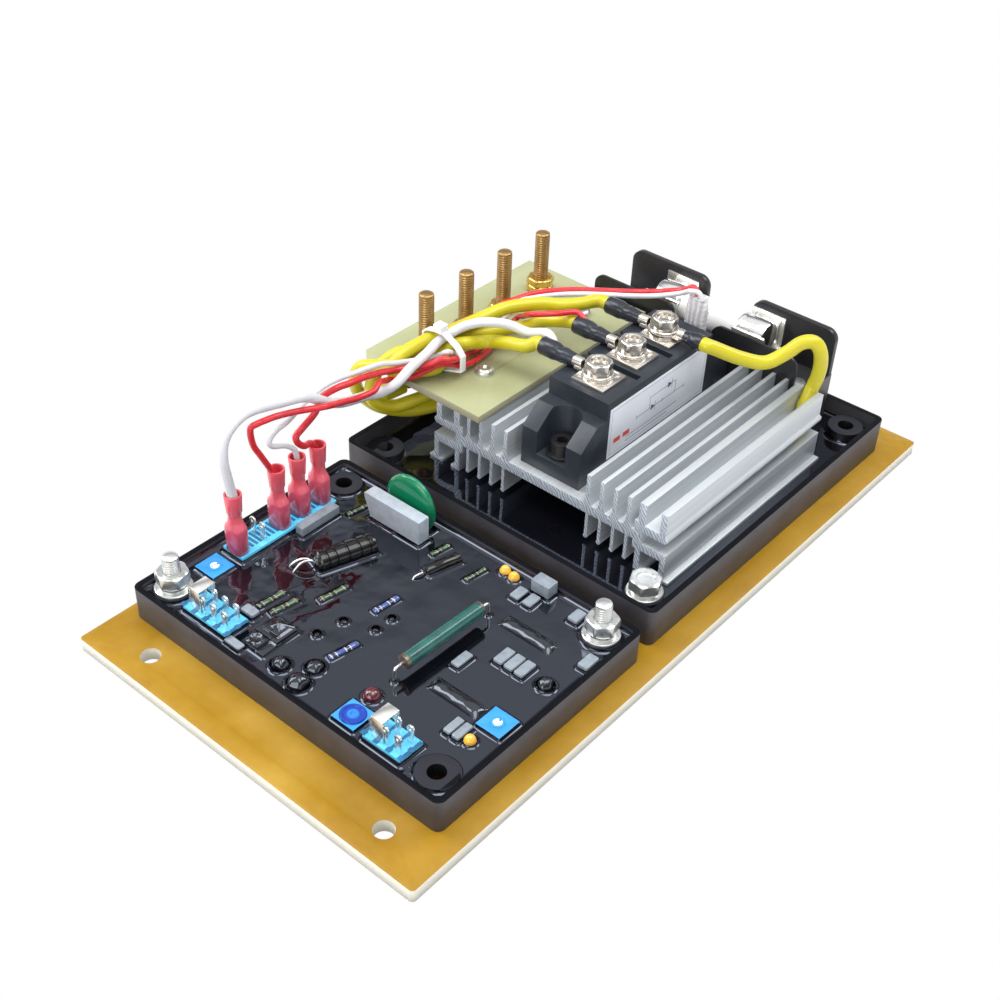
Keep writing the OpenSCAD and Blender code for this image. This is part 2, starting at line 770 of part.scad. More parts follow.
// a domed lump: a half ellipse turned round its own axis
module dome(x, y, r, h) {
    place([x, y]) translate([x, y, resin1]) rotate_extrude()
        polygon(concat([[0, 0]], [for (a = [0:15:90]) [r * cos(a), h * sin(a)]]));
}

module resin_domes() {
    color([0.1, 0.1, 0.12]) {
        dome(-9.4, -118.6, 3.5, 3.6);
        dome(0.8, -120.2, 4.2, 4);
        dome(-0.4, -112, 3.4, 3);
        dome(58.4, -68.4, 3.2, 3.4);
        dome(-9.2, -90.7, 1.6, 0.8);
        dome(-11.2, -100.8, 1.6, 0.8);
        dome(1.6, -79, 1.5, 0.8);
        dome(1.3, -86.4, 1.5, 0.8);
    }
}

module resin_ridges() {
    color([0.2, 0.21, 0.25]) {
        seated(29.2, 49.4, -56.2, -51.4, resin1, 16.2);
        seated(31.6, 50.6, -93.4, -88.4, resin1, 16.4);
    }
}

module tantalum_beads() {
    color([0.96, 0.7, 0.22]) for (p = [[13.6, -35.4], [18, -36], [56.4, -102]])
        dome(p.x, p.y, 2.1, 3.2);
}

module indicator_lamp() {
    color([0.4, 0.06, 0.08]) dome(21.6, -108.6, 3, 3.6);
}

// Leads: smooth tubes along hand-laid routes
function unit(v) = v / norm(v);
function bend(a, b, c, d, t) = 0.5 * (2 * b + (c - a) * t + (2 * a - 5 * b + 4 * c - d) * t * t
    + (3 * b - a - 3 * c + d) * t * t * t);
function route(P, k) = [for (i = [0:len(P) - 2], j = [0:k - 1])
    bend(P[max(i - 1, 0)], P[i], P[i + 1], P[min(i + 2, len(P) - 1)], j / k), P[len(P) - 1]];
function heading(Q) = [for (i = [0:len(Q) - 1])
    unit(Q[min(i + 1, len(Q) - 1)] - Q[max(i - 1, 0)])];
function carry(T, i, u) = i >= len(T) ? [] :
    let (v = unit(u - T[i] * (T[i] * u))) concat([v], carry(T, i + 1, v));

module lead(P, d, k = 4, sides = 8) {
    Q = route(P, k);
    T = heading(Q);
    U = carry(T, 0, unit(cross(T[0], [0.3, 0.2, 0.93])));
    n = len(Q);
    pts = [for (i = [0:n - 1], s = [0:sides - 1])
        Q[i] + d / 2 * (cos(s * 360 / sides) * U[i] + sin(s * 360 / sides) * cross(T[i], U[i]))];
    walls = [for (i = [0:n - 2], s = [0:sides - 1], h = [0, 1])
        let (a = i * sides + s, b = i * sides + (s + 1) % sides)
            h == 0 ? [a, a + sides, b] : [b, a + sides, b + sides]];
    polyhedron(concat(pts), concat([[for (s = [0:sides - 1]) s]], walls,
        [[for (s = [sides - 1:-1:0]) (n - 1) * sides + s]]), convexity = 6);
}

stud_a = [[-69.9, 2.8, 36.5], [-70.5, 7.6, 37.8]];
stud_b = [[-61.2, 33.6, 37.6], [-64.2, 35.3, 37.8]];
stud_c = [[-60.5, 55.5, 37.6], [-64.2, 57.7, 37.8]];
stud_boots = [stud_a, stud_b, stud_c];

// from the third, second and first module terminal, over the board and under to the studs
yellow_1 = [[-26.1, 68.8, 61.4], [-30.1, 67.7, 61.4], [-34, 61.5, 61], [-39.3, 56.6, 60.4],
    [-44.9, 51.9, 60.8], [-52.7, 42.3, 60.1], [-57.4, 33, 57.9], [-60.5, 22.5, 56.5], [-63, 13.5, 56],
    [-64.5, 7, 55.5], [-66, -2.5, 54], [-67.5, -8, 50.5], [-78.5, -12.5, 47], [-83, -10.5, 35],
    [-79, -6, 27.5], [-74.3, -2.1, 25.4], [-69, 3, 24.5], [-63.8, 9.5, 25.2], [-59.5, 17, 27],
    [-57.1, 25.9, 29.4], [-56, 34.5, 32], [-56.5, 46, 35.5], [-58, 54, 37.5]];
yellow_2 = [[-25.9, 48.8, 61.4], [-28, 48.8, 61.3], [-33.5, 49.5, 59], [-41.5, 48.5, 56],
    [-45.3, 44.7, 53.4], [-50, 39, 53.5], [-55.5, 32.5, 52], [-61.1, 27, 51.2], [-62.1, 19.5, 50.6],
    [-62.6, 10.5, 47.5], [-69, 4.5, 50], [-72.5, 0, 49.5], [-75, -7.5, 44.5], [-75.5, -10, 33.5],
    [-70.5, -4.5, 29.5], [-65.9, 0.5, 31], [-61.5, 6.5, 33.5], [-58.9, 12.9, 35.5], [-57.5, 19.5, 37],
    [-58.5, 32, 37.5]];
yellow_3 = [[-25.9, 28.4, 61.3], [-28, 28.3, 61.2], [-31, 26, 59.5], [-39, 26.5, 57],
    [-48, 27.5, 53.5], [-51.9, 23.9, 53], [-53.3, 18, 54.7], [-57.8, 13.7, 52.9], [-57, 6.3, 48],
    [-62.2, -2, 47.7], [-66.2, -8.3, 44.2], [-69, -9, 39.5], [-70, -6, 36.5], [-69.5, 1, 36]];
yellow_4 = [[18.2, 68.8, 62.3], [20, 68.9, 62.3], [22, 70.5, 61.4], [29, 77, 57.5], [35.5, 85, 54.5],
    [40, 91.5, 57.5], [43.6, 95.4, 61.8], [47.4, 98, 62.6], [49.8, 99.6, 59], [50.1, 101.4, 52.5],
    [49.4, 102.4, 46.5], [48.5, 102.1, 41.8], [48.4, 100, 38.2], [48.4, 97.8, 34.5], [48.4, 97.2, 29],
    [48.4, 97.2, 20], [48.4, 97.2, 12.2]];
white_1 = [[-26.1, 32.3, 64.1], [-35, 32, 61], [-41, 29.5, 62.5], [-46, 26.5, 63], [-51.5, 23.5, 62],
    [-56, 20, 60], [-58, 15, 58.5], [-59, 9, 57], [-57.5, 1, 56], [-56, -9.1, 55.1],
    [-55.2, -17.6, 52.7], [-61, -19.9, 47.4], [-63.2, -25.5, 47.6], [-62.5, -37.3, 51],
    [-58.7, -48.1, 58.3], [-58.2, -58.4, 65.7], [-60, -68.5, 67.5], [-60.5, -81, 70],
    [-60.5, -88, 68.5], [-60.5, -92.5, 64], [-60, -94, 57.5], [-60, -93, 49.5], [-60, -91.5, 40.5]];
white_2 = [[6, 84.5, 69], [4, 84.5, 71.5], [1.1, 83.3, 71.7], [-1.5, 84.2, 69.9], [-5, 84.9, 67.5],
    [-13.5, 81.5, 64.5], [-21, 75.5, 64], [-29.5, 71.5, 62.8], [-39.5, 68, 60.5], [-47.5, 64, 58.5],
    [-54, 58, 57], [-57, 52.5, 56], [-58, 44.5, 50.5], [-59.5, 38, 47], [-60.7, 31.5, 46.1],
    [-61.4, 28.1, 46.1], [-55.7, 16.8, 48.8], [-51.8, 7, 56.6], [-55.3, 6.5, 54.2], [-59.5, 4.5, 51.5],
    [-61.5, -3, 53], [-62, -11, 55.5], [-62, -18.5, 58.5], [-62.2, -30, 60.5], [-62.5, -41.5, 62],
    [-63, -49, 61], [-63, -55.5, 59], [-61, -64.5, 57.5], [-61, -69.5, 56.5], [-61, -73, 54],
    [-60.5, -72.5, 51.5], [-60.5, -66.5, 48.5], [-60, -63, 45], [-60, -62, 39.5]];
red_1 = [[-25.9, 50.1, 65.4], [-31.5, 45, 65], [-37, 42.5, 63.5], [-42.3, 41.8, 61.4],
    [-49.6, 47.1, 55.3], [-56, 51, 50], [-54.5, 38.5, 47], [-51.5, 26.5, 46.6], [-50.3, 15.2, 48.1],
    [-54, 5.3, 51], [-56.5, -0.5, 49.6], [-59, -5, 48], [-62, -10.5, 48.4], [-62.8, -13.2, 49],
    [-58.9, -22.3, 53.9], [-57, -27, 53.5], [-57, -35.5, 54.5], [-56.3, -43.4, 57.1],
    [-54.5, -52.6, 60.7], [-57.9, -61.6, 61.8], [-58.5, -70.5, 64], [-59, -75.5, 64.5],
    [-59.5, -79, 64.5], [-60, -81.5, 63.5], [-60, -81, 57], [-60, -78, 50.5], [-60, -74, 42.5],
    [-60, -72, 39]];
red_2 = [[3, 86.5, 69], [0.5, 86.5, 71.5], [-2, 87.2, 70.1], [-6, 87.5, 67.5], [-15.5, 85, 64],
    [-23.5, 79.5, 63], [-32.5, 75.5, 61.5], [-42, 71, 60], [-49.5, 66.5, 58.5], [-56, 60.5, 57],
    [-60.5, 54, 55], [-62.5, 49, 54], [-62, 42, 52], [-57.5, 33.5, 47.5], [-55.6, 28.5, 46.4],
    [-54.2, 20.5, 48.4], [-51, 12.9, 51.7], [-49.9, 5.5, 54.5], [-51.9, 3, 55.1], [-55, -0.5, 53],
    [-59.5, -5.5, 52], [-61.5, -11.5, 53], [-61.5, -19, 55.5], [-60.7, -27.6, 58],
    [-59.8, -36.1, 59.8], [-61.1, -40.8, 59.6], [-63.8, -46.2, 56.7], [-62.1, -50.7, 53.7],
    [-60.5, -58, 52], [-60.5, -61.5, 50], [-60, -61.5, 47.5], [-59.5, -59, 45], [-60.5, -55, 43.5],
    [-60, -52.5, 39]];

module yellow_leads() {
    color([0.86, 0.82, 0.16]) {
        lead(yellow_1, 5.2, 3);
        lead(yellow_2, 5.2);
        lead(yellow_3, 5.2);
        lead(yellow_4, 5.4);
    }
}

module white_lead() {
    color([0.92, 0.92, 0.93]) lead(white_1, 3.7, 3);
}

module thin_white_lead() {
    color([0.92, 0.92, 0.93]) lead(white_2, 2, 2);
}

module red_leads() {
    color([0.85, 0.16, 0.18]) {
        lead(red_1, 2.3, 2);
        lead(red_2, 2.5, 2);
    }
}

// nylon tie round the bundle on the terminal board, with its square head on top
module cable_tie() {
    color([0.93, 0.93, 0.93]) translate([0, 12.1, 0]) rotate([90, 0, 0]) {
        linear_extrude(2.6) difference() {
            polygon([[-66.4, 44.7], [-62.6, 44.1], [-59.2, 44.1], [-47.9, 47.8], [-47.9, 54.2],
                [-49.5, 56.2], [-51.2, 57.8], [-57, 60.8], [-60.1, 60.9], [-65.6, 59.6],
                [-67.6, 58], [-67.7, 54.4], [-67.2, 47.7]]);
            polygon([[-65.7, 45.2], [-62.5, 44.7], [-59.6, 44.7], [-48.6, 48.5], [-48.6, 53.8],
                [-50.2, 55.6], [-51.6, 57.1], [-57.2, 60], [-60, 60.1], [-65.2, 58.9],
                [-66.9, 57.6], [-67, 54.5], [-66.6, 47.8]]);
        }
        translate([-61.5, 60.5, -0.6]) cube([4, 3, 3.8]);
    }
}

base_board();
regulator_tray();
regulator_potting();
regulator_circuit_board();
power_tray();
power_potting();
power_circuit_board();
tray_studs();
tray_nuts();
tray_bolts();
heat_sink();
module_base();
module_housing();
module_label();
module_terminals();
module_screws();
module_bolts();
ring_lugs();
lug_boots();
terminal_board();
terminal_studs();
terminal_nuts();
terminal_board_screws();
fuse_block();
fuse_clips();
fuse_body();
fuse_caps();
fuse_block_screws();
trimmer_a_body();
trimmer_a_rotor();
trimmer_b_body();
trimmer_b_rotor();
trimmer_c_body();
trimmer_c_rotor();
output_connector();
link_connector_a();
link_connector_b();
contact_tabs();
shorting_links();
faston_sleeves();
gate_sleeve();
film_capacitor();
varistor();
power_resistor();
electrolytics();
box_capacitors();
small_resistors();
transistor();
resin_domes();
resin_ridges();
tantalum_beads();
indicator_lamp();
yellow_leads();
white_lead();
thin_white_lead();
red_leads();
cable_tie();
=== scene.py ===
from math import atan2, copysign, cos, exp, hypot, log, pi, radians, sin, sqrt

import bmesh
import bpy
from mathutils import Matrix, Vector


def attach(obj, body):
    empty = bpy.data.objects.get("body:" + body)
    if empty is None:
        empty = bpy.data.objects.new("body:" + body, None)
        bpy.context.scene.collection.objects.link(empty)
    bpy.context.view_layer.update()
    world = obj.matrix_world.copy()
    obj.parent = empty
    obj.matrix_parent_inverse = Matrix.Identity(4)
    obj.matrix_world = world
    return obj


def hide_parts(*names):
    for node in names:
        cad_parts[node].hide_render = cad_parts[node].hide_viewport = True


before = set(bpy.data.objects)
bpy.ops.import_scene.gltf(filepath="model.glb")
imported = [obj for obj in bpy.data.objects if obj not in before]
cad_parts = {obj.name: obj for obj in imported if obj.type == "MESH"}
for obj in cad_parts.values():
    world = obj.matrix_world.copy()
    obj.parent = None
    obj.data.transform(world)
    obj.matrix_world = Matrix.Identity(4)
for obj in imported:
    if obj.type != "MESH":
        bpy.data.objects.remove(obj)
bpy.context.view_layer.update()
MM = 0.001
RESIN_Z, REAR_RESIN_Z = 15, 12  # level of the resin in the front and the back tray
BOSS_TOP = 16.5
CONNECTOR_TOP = 17.5
PLATE_TOP = 44  # upper face of the terminal board
scene = bpy.context.scene


# ---- materials ----

M = {}  # every material, by its name


def new_mat(name):
    m = M[name] = bpy.data.materials.new(name)
    m.use_nodes = True
    nt = m.node_tree
    nt.nodes.clear()
    out = nt.nodes.new("ShaderNodeOutputMaterial")
    sh = nt.nodes.new("ShaderNodeBsdfPrincipled")
    nt.links.new(sh.outputs[0], out.inputs[0])
    return nt, sh


def ramp(nt, src, stops):
    """Colour ramp; a stop's colour may be one number, which is a grey."""
    r = nt.nodes.new("ShaderNodeValToRGB")
    els = r.color_ramp.elements
    while len(els) < len(stops):
        els.new(0.5)
    for el, (p, c) in zip(els, stops):
        el.position = p
        el.color = (*c, 1) if isinstance(c, tuple) else (c, c, c, 1)
    nt.links.new(src, r.inputs[0])
    return r.outputs[0]


def plug(nt, sh, sockets):
    """Sets constants on a node's sockets and links the rest."""
    for name, v in sockets.items():
        if isinstance(v, bpy.types.NodeSocket):
            nt.links.new(v, sh.inputs[name])
        else:
            sh.inputs[name].default_value = v


def coords(nt, scale=(1, 1, 1), rot=(0, 0, 0)):
    m = nt.nodes.new("ShaderNodeMapping")
    plug(nt, m, {"Vector": nt.nodes.new("ShaderNodeTexCoord").outputs["Object"], "Scale": scale, "Rotation": rot})
    return m.outputs[0]


def noise(nt, vec, scale, detail=4, rough=0.55):
    n = nt.nodes.new("ShaderNodeTexNoise")
    plug(nt, n, {"Scale": scale, "Detail": detail, "Roughness": rough, "Vector": vec})
    return n.outputs[0]


def wave(nt, vec, scale, distortion, detail, axis="X"):
    w = nt.nodes.new("ShaderNodeTexWave")
    w.bands_direction = axis
    plug(nt, w, {"Scale": scale, "Distortion": distortion, "Detail": detail, "Vector": vec})
    return w.outputs[0]


def mixc(nt, fac, a, b):
    m = nt.nodes.new("ShaderNodeMix")
    m.data_type = "RGBA"
    nt.links.new(fac, m.inputs[0])
    for sock, v in ((m.inputs[6], a), (m.inputs[7], b)):
        if isinstance(v, tuple):
            sock.default_value = (*v, 1)
        else:
            nt.links.new(v, sock)
    return m.outputs[2]


def calc(nt, op, a, b=None):
    """Math node; a and b are sockets or numbers."""
    m = nt.nodes.new("ShaderNodeMath")
    m.operation = op
    for sock, v in zip(m.inputs, (a, b)):
        if isinstance(v, (int, float)):
            sock.default_value = v
        elif v is not None:
            nt.links.new(v, sock)
    return m.outputs[0]


def bump(nt, sh, h, dist, strength=1.0):
    b = nt.nodes.new("ShaderNodeBump")
    plug(nt, b, {"Distance": dist, "Strength": strength, "Height": h})
    nt.links.new(b.outputs[0], sh.inputs["Normal"])


def axis_of(nt, vec, axis):
    s = nt.nodes.new("ShaderNodeSeparateXYZ")
    nt.links.new(vec, s.inputs[0])
    return s.outputs[axis]


def normal_part(nt, axis):
    return axis_of(nt, nt.nodes.new("ShaderNodeNewGeometry").outputs["True Normal"], axis)


def position_part(nt, axis):
    return axis_of(nt, nt.nodes.new("ShaderNodeTexCoord").outputs["Object"], axis)


def surf(name, col, rough, metal=0.0, spread=0.06, nscale=60, coat=0.0, bumpd=0.0, bscale=900):
    """A material whose colour wanders a little from place to place."""
    nt, sh = new_mat(name)
    v = coords(nt)
    lo, hi = (tuple(min(c * k, 1) for c in col) for k in (1 - spread, 1 + spread))
    plug(nt, sh, {
        "Base Color": ramp(nt, noise(nt, v, nscale), [(0.3, lo), (0.7, hi)]),
        "Roughness": ramp(nt, noise(nt, v, nscale * 1.7), [(0.3, rough * 0.88), (0.7, min(rough * 1.12, 1))]),
        "Metallic": metal, "Coat Weight": coat, "Coat Roughness": 0.06})
    if bumpd:
        bump(nt, sh, noise(nt, v, bscale, 3), bumpd)


def board_mat():
    """Amber laminate, clouded, with pale cut edges, darkened towards their foot by a painted shadow line."""
    nt, sh = new_mat("board_laminate")
    v = coords(nt)
    c = ramp(nt, noise(nt, v, 26, 5, 0.62), [
        (0.3, (0.28, 0.142, 0.004)), (0.5, (0.355, 0.19, 0.007)), (0.72, (0.43, 0.25, 0.026))])
    c = mixc(nt, calc(nt, "MULTIPLY", noise(nt, v, 300, 3), 0.12), c, (0.6, 0.4, 0.12))
    level = calc(nt, "GREATER_THAN", calc(nt, "ABSOLUTE", normal_part(nt, 2)), 0.7)
    # the cut edges' colour greys in their lowest 2 mm: a painted shadow line along the board's foot
    edge = ramp(nt, position_part(nt, 2), [
        (0.0, (0.38, 0.36, 0.31)), (0.0012, (0.52, 0.49, 0.41)), (0.002, (0.68, 0.65, 0.55))])
    plug(nt, sh, {"Base Color": mixc(nt, level, edge, c), "Specular IOR Level": 0.3,
                  "Roughness": ramp(nt, level, [(0.4, 0.6), (0.6, 0.26)])})
    bump(nt, sh, noise(nt, v, 120, 2), 0.00006)


def resin_mat():
    """Black cast resin with a mirror skin."""
    nt, sh = new_mat("potting")
    v = coords(nt)
    plug(nt, sh, {
        "Base Color": ramp(nt, noise(nt, v, 40), [(0.3, (0.002, 0.002, 0.003)), (0.7, (0.004, 0.004, 0.006))]),
        "Roughness": 0.035, "Specular IOR Level": 1.0, "Specular Tint": (0.72, 0.8, 1.0, 1)})
    # the skin is livelier in the front tray and on its left, where more parts lie just under it;
    # 0.5 m is added because a ramp starts at 0
    lively, front = (ramp(nt, calc(nt, "ADD", position_part(nt, axis), 0.5), stops) for axis, stops in (
        (0, [(0.43, 1.0), (0.47, 0.55), (0.5, 0.16), (0.56, 0.1)]), (1, [(0.472, 1.0), (0.478, 0.3)])))
    ripple = calc(nt, "ADD", noise(nt, v, 66, 1.2, 0.4), calc(nt, "MULTIPLY", noise(nt, v, 170, 1, 0.4), 0.22))
    bump(nt, sh, calc(nt, "MULTIPLY", ripple, calc(nt, "MULTIPLY", lively, front)), 0.0015)


def lump_mat():
    """Resin that films over what lies just under it: glossy and uneven."""
    nt, sh = new_mat("resin_lump")
    v = coords(nt)
    plug(nt, sh, {
        "Base Color": ramp(nt, noise(nt, v, 90), [(0.3, (0.004, 0.004, 0.005)), (0.7, (0.01, 0.01, 0.012))]),
        "Roughness": 0.04, "Specular IOR Level": 1.0, "Specular Tint": (0.78, 0.86, 1.0, 1)})
    bump(nt, sh, noise(nt, v, 130, 1, 0.3), 0.0009, 0.7)


def tray_mat():
    """Moulded black thermoset: near black on level faces, with the sides painted lighter as a painted sheen."""
    nt, sh = new_mat("tray_plastic")
    v = coords(nt)
    # the sides' lighter colour is painted sheen; the level faces keep the plastic's own near black
    side = ramp(nt, noise(nt, v, 90), [(0.3, (0.04, 0.037, 0.042)), (0.7, (0.062, 0.058, 0.066))])
    top = ramp(nt, noise(nt, v, 120), [(0.3, (0.003, 0.0035, 0.005)), (0.7, (0.005, 0.006, 0.009))])
    level = calc(nt, "GREATER_THAN", normal_part(nt, 2), 0.55)
    # what stands inside the walls of the two trays: the bosses, their tops painted greyer as a painted sheen, their
    # sides and bores left black, without the outer sides' painted sheen
    x, y = position_part(nt, 0), position_part(nt, 1)
    across, front, rear = (calc(nt, "SUBTRACT", calc(nt, "ABSOLUTE", calc(nt, "ADD", p, c)), half)
                           for p, c, half in ((x, 0.0025, 0.0655), (y, 0.0785, 0.0465), (y, -0.0555, 0.0745)))
    inside_walls_sheen_mask = calc(nt, "LESS_THAN", calc(nt, "MAXIMUM", across, calc(nt, "MINIMUM", front, rear)), 0.0)
    side = mixc(nt, inside_walls_sheen_mask, side, (0.004, 0.004, 0.005))
    top = mixc(nt, inside_walls_sheen_mask, top, (0.03, 0.031, 0.038))
    plug(nt, sh, {"Base Color": mixc(nt, level, side, top), "Roughness": 0.42,
                  "Specular IOR Level": ramp(nt, level, [(0.4, 0.5), (0.6, 0.07)])})
    bump(nt, sh, noise(nt, v, 700, 3), 0.00006)


def dot_mat(name, centre, ring, edge):
    """Rotor with a round centre of another colour."""
    nt, sh = new_mat(name)
    unit = nt.nodes.new("ShaderNodeTexCoord").outputs["Generated"]
    dx, dy = (calc(nt, "SUBTRACT", axis_of(nt, unit, i), 0.5) for i in (0, 1))
    d = calc(nt, "ADD", calc(nt, "MULTIPLY", dx, dx), calc(nt, "MULTIPLY", dy, dy))
    d = calc(nt, "ADD", d, calc(nt, "MULTIPLY", noise(nt, coords(nt), 700, 2), 0.03))
    c = ramp(nt, d, [(0.0, centre), (edge, centre), (edge + 0.03, ring), (0.3, ring)])
    plug(nt, sh, {"Base Color": c, "Roughness": 0.25})


def sink_mat():
    """Extruded aluminium, drawn along Y, with sawn ends."""
    nt, sh = new_mat("sink_aluminium")
    v = coords(nt, (900, 6, 900))
    c = ramp(nt, noise(nt, v, 1, 3), [(0.3, (0.51, 0.54, 0.56)), (0.7, (0.61, 0.64, 0.66))])
    cut = ramp(nt, wave(nt, coords(nt, rot=(0, radians(38), 0)), 260, 9.0, 2), [
        (0.1, (0.42, 0.47, 0.55)), (0.45, (0.64, 0.7, 0.78)), (0.9, (0.84, 0.9, 0.96))])
    end = calc(nt, "GREATER_THAN", calc(nt, "ABSOLUTE", normal_part(nt, 1)), 0.8)
    plug(nt, sh, {"Base Color": mixc(nt, end, c, cut), "Metallic": 0.5,
                  "Roughness": ramp(nt, noise(nt, v, 1.4, 3), [(0.3, 0.36), (0.7, 0.5)])})
    bump(nt, sh, noise(nt, v, 1, 2), 0.00004)


def sleeve_mat():
    """Soft translucent plastic, darker towards the foot."""
    nt, sh = new_mat("sleeve_pink")
    c = ramp(nt, position_part(nt, 2), [
        (0.018, (0.42, 0.05, 0.13)), (0.0275, (0.62, 0.07, 0.14)), (0.0295, (0.78, 0.09, 0.13)),
        (0.043, (0.76, 0.075, 0.11))])
    c = mixc(nt, calc(nt, "MULTIPLY", noise(nt, coords(nt), 160, 3), 0.35), c, (0.95, 0.3, 0.32))
    plug(nt, sh, {"Base Color": c, "Roughness": 0.16, "Coat Weight": 0.4, "Subsurface Weight": 0.25,
                  "Subsurface Radius": (0.004, 0.001, 0.001)})


def clear_mat():
    nt, sh = new_mat("clear_sleeve")
    folds = wave(nt, coords(nt), 150, 2.5, 2)
    plug(nt, sh, {"Base Color": ramp(nt, folds, [(0.2, (0.62, 0.6, 0.64)), (0.8, (0.9, 0.89, 0.91))]),
                  "Roughness": 0.22, "Alpha": 0.72})
    bump(nt, sh, folds, 0.0004)


def band_mat(name, body, bands):
    """Lacquered resistor: colour rings that repeat along the part's length."""
    nt, sh = new_mat(name)
    c = ramp(nt, wave(nt, coords(nt), 62, 2.0, 1, "Y"), [
        (0.0, body), (0.55, body), (0.7, bands[0]), (0.9, bands[1])])
    plug(nt, sh, {"Base Color": c, "Roughness": 0.08, "Coat Weight": 0.8})


def label_mat():
    """Blank white label with a thin printed frame; Y runs along it, Z up."""
    nt, sh = new_mat("label_paper")
    inset, width = 0.0012, 0.00016
    past = [calc(nt, "SUBTRACT", calc(nt, "ABSOLUTE", calc(nt, "SUBTRACT", position_part(nt, axis), (lo + hi) / 2)),
                 (hi - lo) / 2 - inset)
            for axis, lo, hi in ((1, 0.0195, 0.080), (2, 0.0339, 0.0553))]
    line = calc(nt, "LESS_THAN", calc(nt, "ABSOLUTE", calc(nt, "MAXIMUM", *past)), width)
    c = ramp(nt, noise(nt, coords(nt), 70), [(0.3, (0.77, 0.79, 0.85)), (0.7, (0.83, 0.85, 0.9))])
    plug(nt, sh, {"Base Color": mixc(nt, line, c, (0.5, 0.52, 0.58)), "Roughness": 0.34})


def terminal_board_mat():
    """Pale green laminate with a fine weave."""
    nt, sh = new_mat("terminal_laminate")
    v = coords(nt)
    c = ramp(nt, noise(nt, v, 45, 4), [(0.3, (0.34, 0.355, 0.175)), (0.7, (0.4, 0.41, 0.225))])
    weave = noise(nt, v, 1300, 1)
    c = mixc(nt, calc(nt, "MULTIPLY", weave, 0.16), c, (0.56, 0.58, 0.36))
    side = calc(nt, "LESS_THAN", calc(nt, "ABSOLUTE", normal_part(nt, 2)), 0.6)
    plug(nt, sh, {"Base Color": mixc(nt, side, c, (0.4, 0.38, 0.25)), "Roughness": 0.42})
    bump(nt, sh, weave, 0.00003)


# name, colour, roughness, and what isn't as usual
SURFACES = (
    ("circuit_board", (0.1, 0.18, 0.09), 0.5, {}),
    ("zinc", (0.7, 0.71, 0.69), 0.3, dict(metal=0.9, spread=0.1, nscale=240)),
    ("module_plastic", (0.019, 0.024, 0.033), 0.42, dict(spread=0.14, nscale=140, bumpd=0.00005)),
    ("module_plate", (0.6, 0.58, 0.52), 0.3, dict(metal=1)),
    ("nickel", (0.7, 0.66, 0.6), 0.24, dict(metal=0.95, spread=0.03)),
    ("black_steel", (0.012, 0.012, 0.013), 0.3, dict(spread=0.3)),
    ("black_boot", (0.018, 0.021, 0.03), 0.24, dict(spread=0.25, nscale=200, bumpd=0.0001, bscale=350)),
    ("stud_brass", (0.36, 0.22, 0.085), 0.36, dict(metal=0.85, spread=0.14, nscale=260)),
    ("nut_brass", (0.72, 0.46, 0.13), 0.3, dict(metal=0.95, spread=0.12, nscale=260)),
    ("block_plastic", (0.012, 0.012, 0.014), 0.35, dict(spread=0.2, bumpd=0.00005)),
    ("clip_metal", (0.9, 0.89, 0.84), 0.22, dict(metal=0.9, spread=0.08, nscale=240)),
    ("fuse_ceramic", (0.79, 0.79, 0.76), 0.22, dict(spread=0.04)),
    ("fuse_cap_metal", (0.84, 0.84, 0.82), 0.16, dict(metal=1, spread=0.1, nscale=160)),
    ("trimmer_blue", (0.035, 0.3, 0.76), 0.22, dict(spread=0.08, coat=0.3)),
    ("connector_cyan", (0.1, 0.54, 0.82), 0.24, dict(spread=0.12, coat=0.3)),
    # dark blue of the connectors' slots: painted shade in their openings
    ("slot_painted_shade", (0.015, 0.12, 0.26), 0.4, dict(spread=0.3)),
    ("tab_tin", (0.88, 0.87, 0.83), 0.22, dict(metal=0.9, spread=0.1, nscale=300)),
    ("capacitor_grey", (0.41, 0.46, 0.51), 0.4, dict(spread=0.12, nscale=300, bumpd=0.00004)),
    ("capacitor_dark", (0.235, 0.275, 0.31), 0.34, dict(spread=0.16, nscale=420, coat=0.3)),
    ("varistor_green", (0.0, 0.2, 0.085), 0.16, dict(spread=0.12, coat=0.3)),
    ("resistor_enamel", (0.016, 0.1, 0.088), 0.16, dict(spread=0.25, nscale=180, coat=0.3)),
    ("electrolytic_sleeve", (0.004, 0.004, 0.005), 0.09, dict(spread=0.3)),
    ("tantalum_orange", (0.95, 0.5, 0.05), 0.16, dict(spread=0.08, coat=0.6)),
    ("lamp_red", (0.09, 0.003, 0.008), 0.06, dict(spread=0.3, coat=0.9)),
    ("wire_yellow", (0.57, 0.5, 0.01), 0.34, dict(spread=0.05, nscale=40, coat=0.15)),
    ("wire_white", (0.68, 0.68, 0.7), 0.34, dict(spread=0.03, nscale=40, coat=0.1)),
    ("wire_red", (0.66, 0.02, 0.03), 0.28, dict(spread=0.1, coat=0.2)),
    ("cap_brown", (0.16, 0.13, 0.1), 0.3, dict(metal=0.6, spread=0.3, nscale=300)),
    ("tie_nylon", (0.86, 0.86, 0.87), 0.35, dict(spread=0.03)),
    ("label_ink", (0.06, 0.08, 0.16), 0.4, dict(spread=0.2)),
    ("label_red", (0.75, 0.09, 0.04), 0.4, dict(spread=0.1)),
    ("mark_white", (0.8, 0.83, 0.74), 0.5, dict(spread=0.05)),
    ("tin_lead", (0.75, 0.74, 0.71), 0.2, dict(metal=1, spread=0.15, nscale=400)),
)
for name, col, rough, more in SURFACES:
    surf(name, col, rough, **more)
for make in (board_mat, tray_mat, resin_mat, lump_mat, sink_mat, label_mat, terminal_board_mat, sleeve_mat, clear_mat):
    make()
dot_mat("rotor_white", (0.86, 0.88, 0.9), (0.035, 0.3, 0.76), 0.1)
dot_mat("rotor_blue", (0.02, 0.2, 0.72), (0.006, 0.045, 0.34), 0.05)
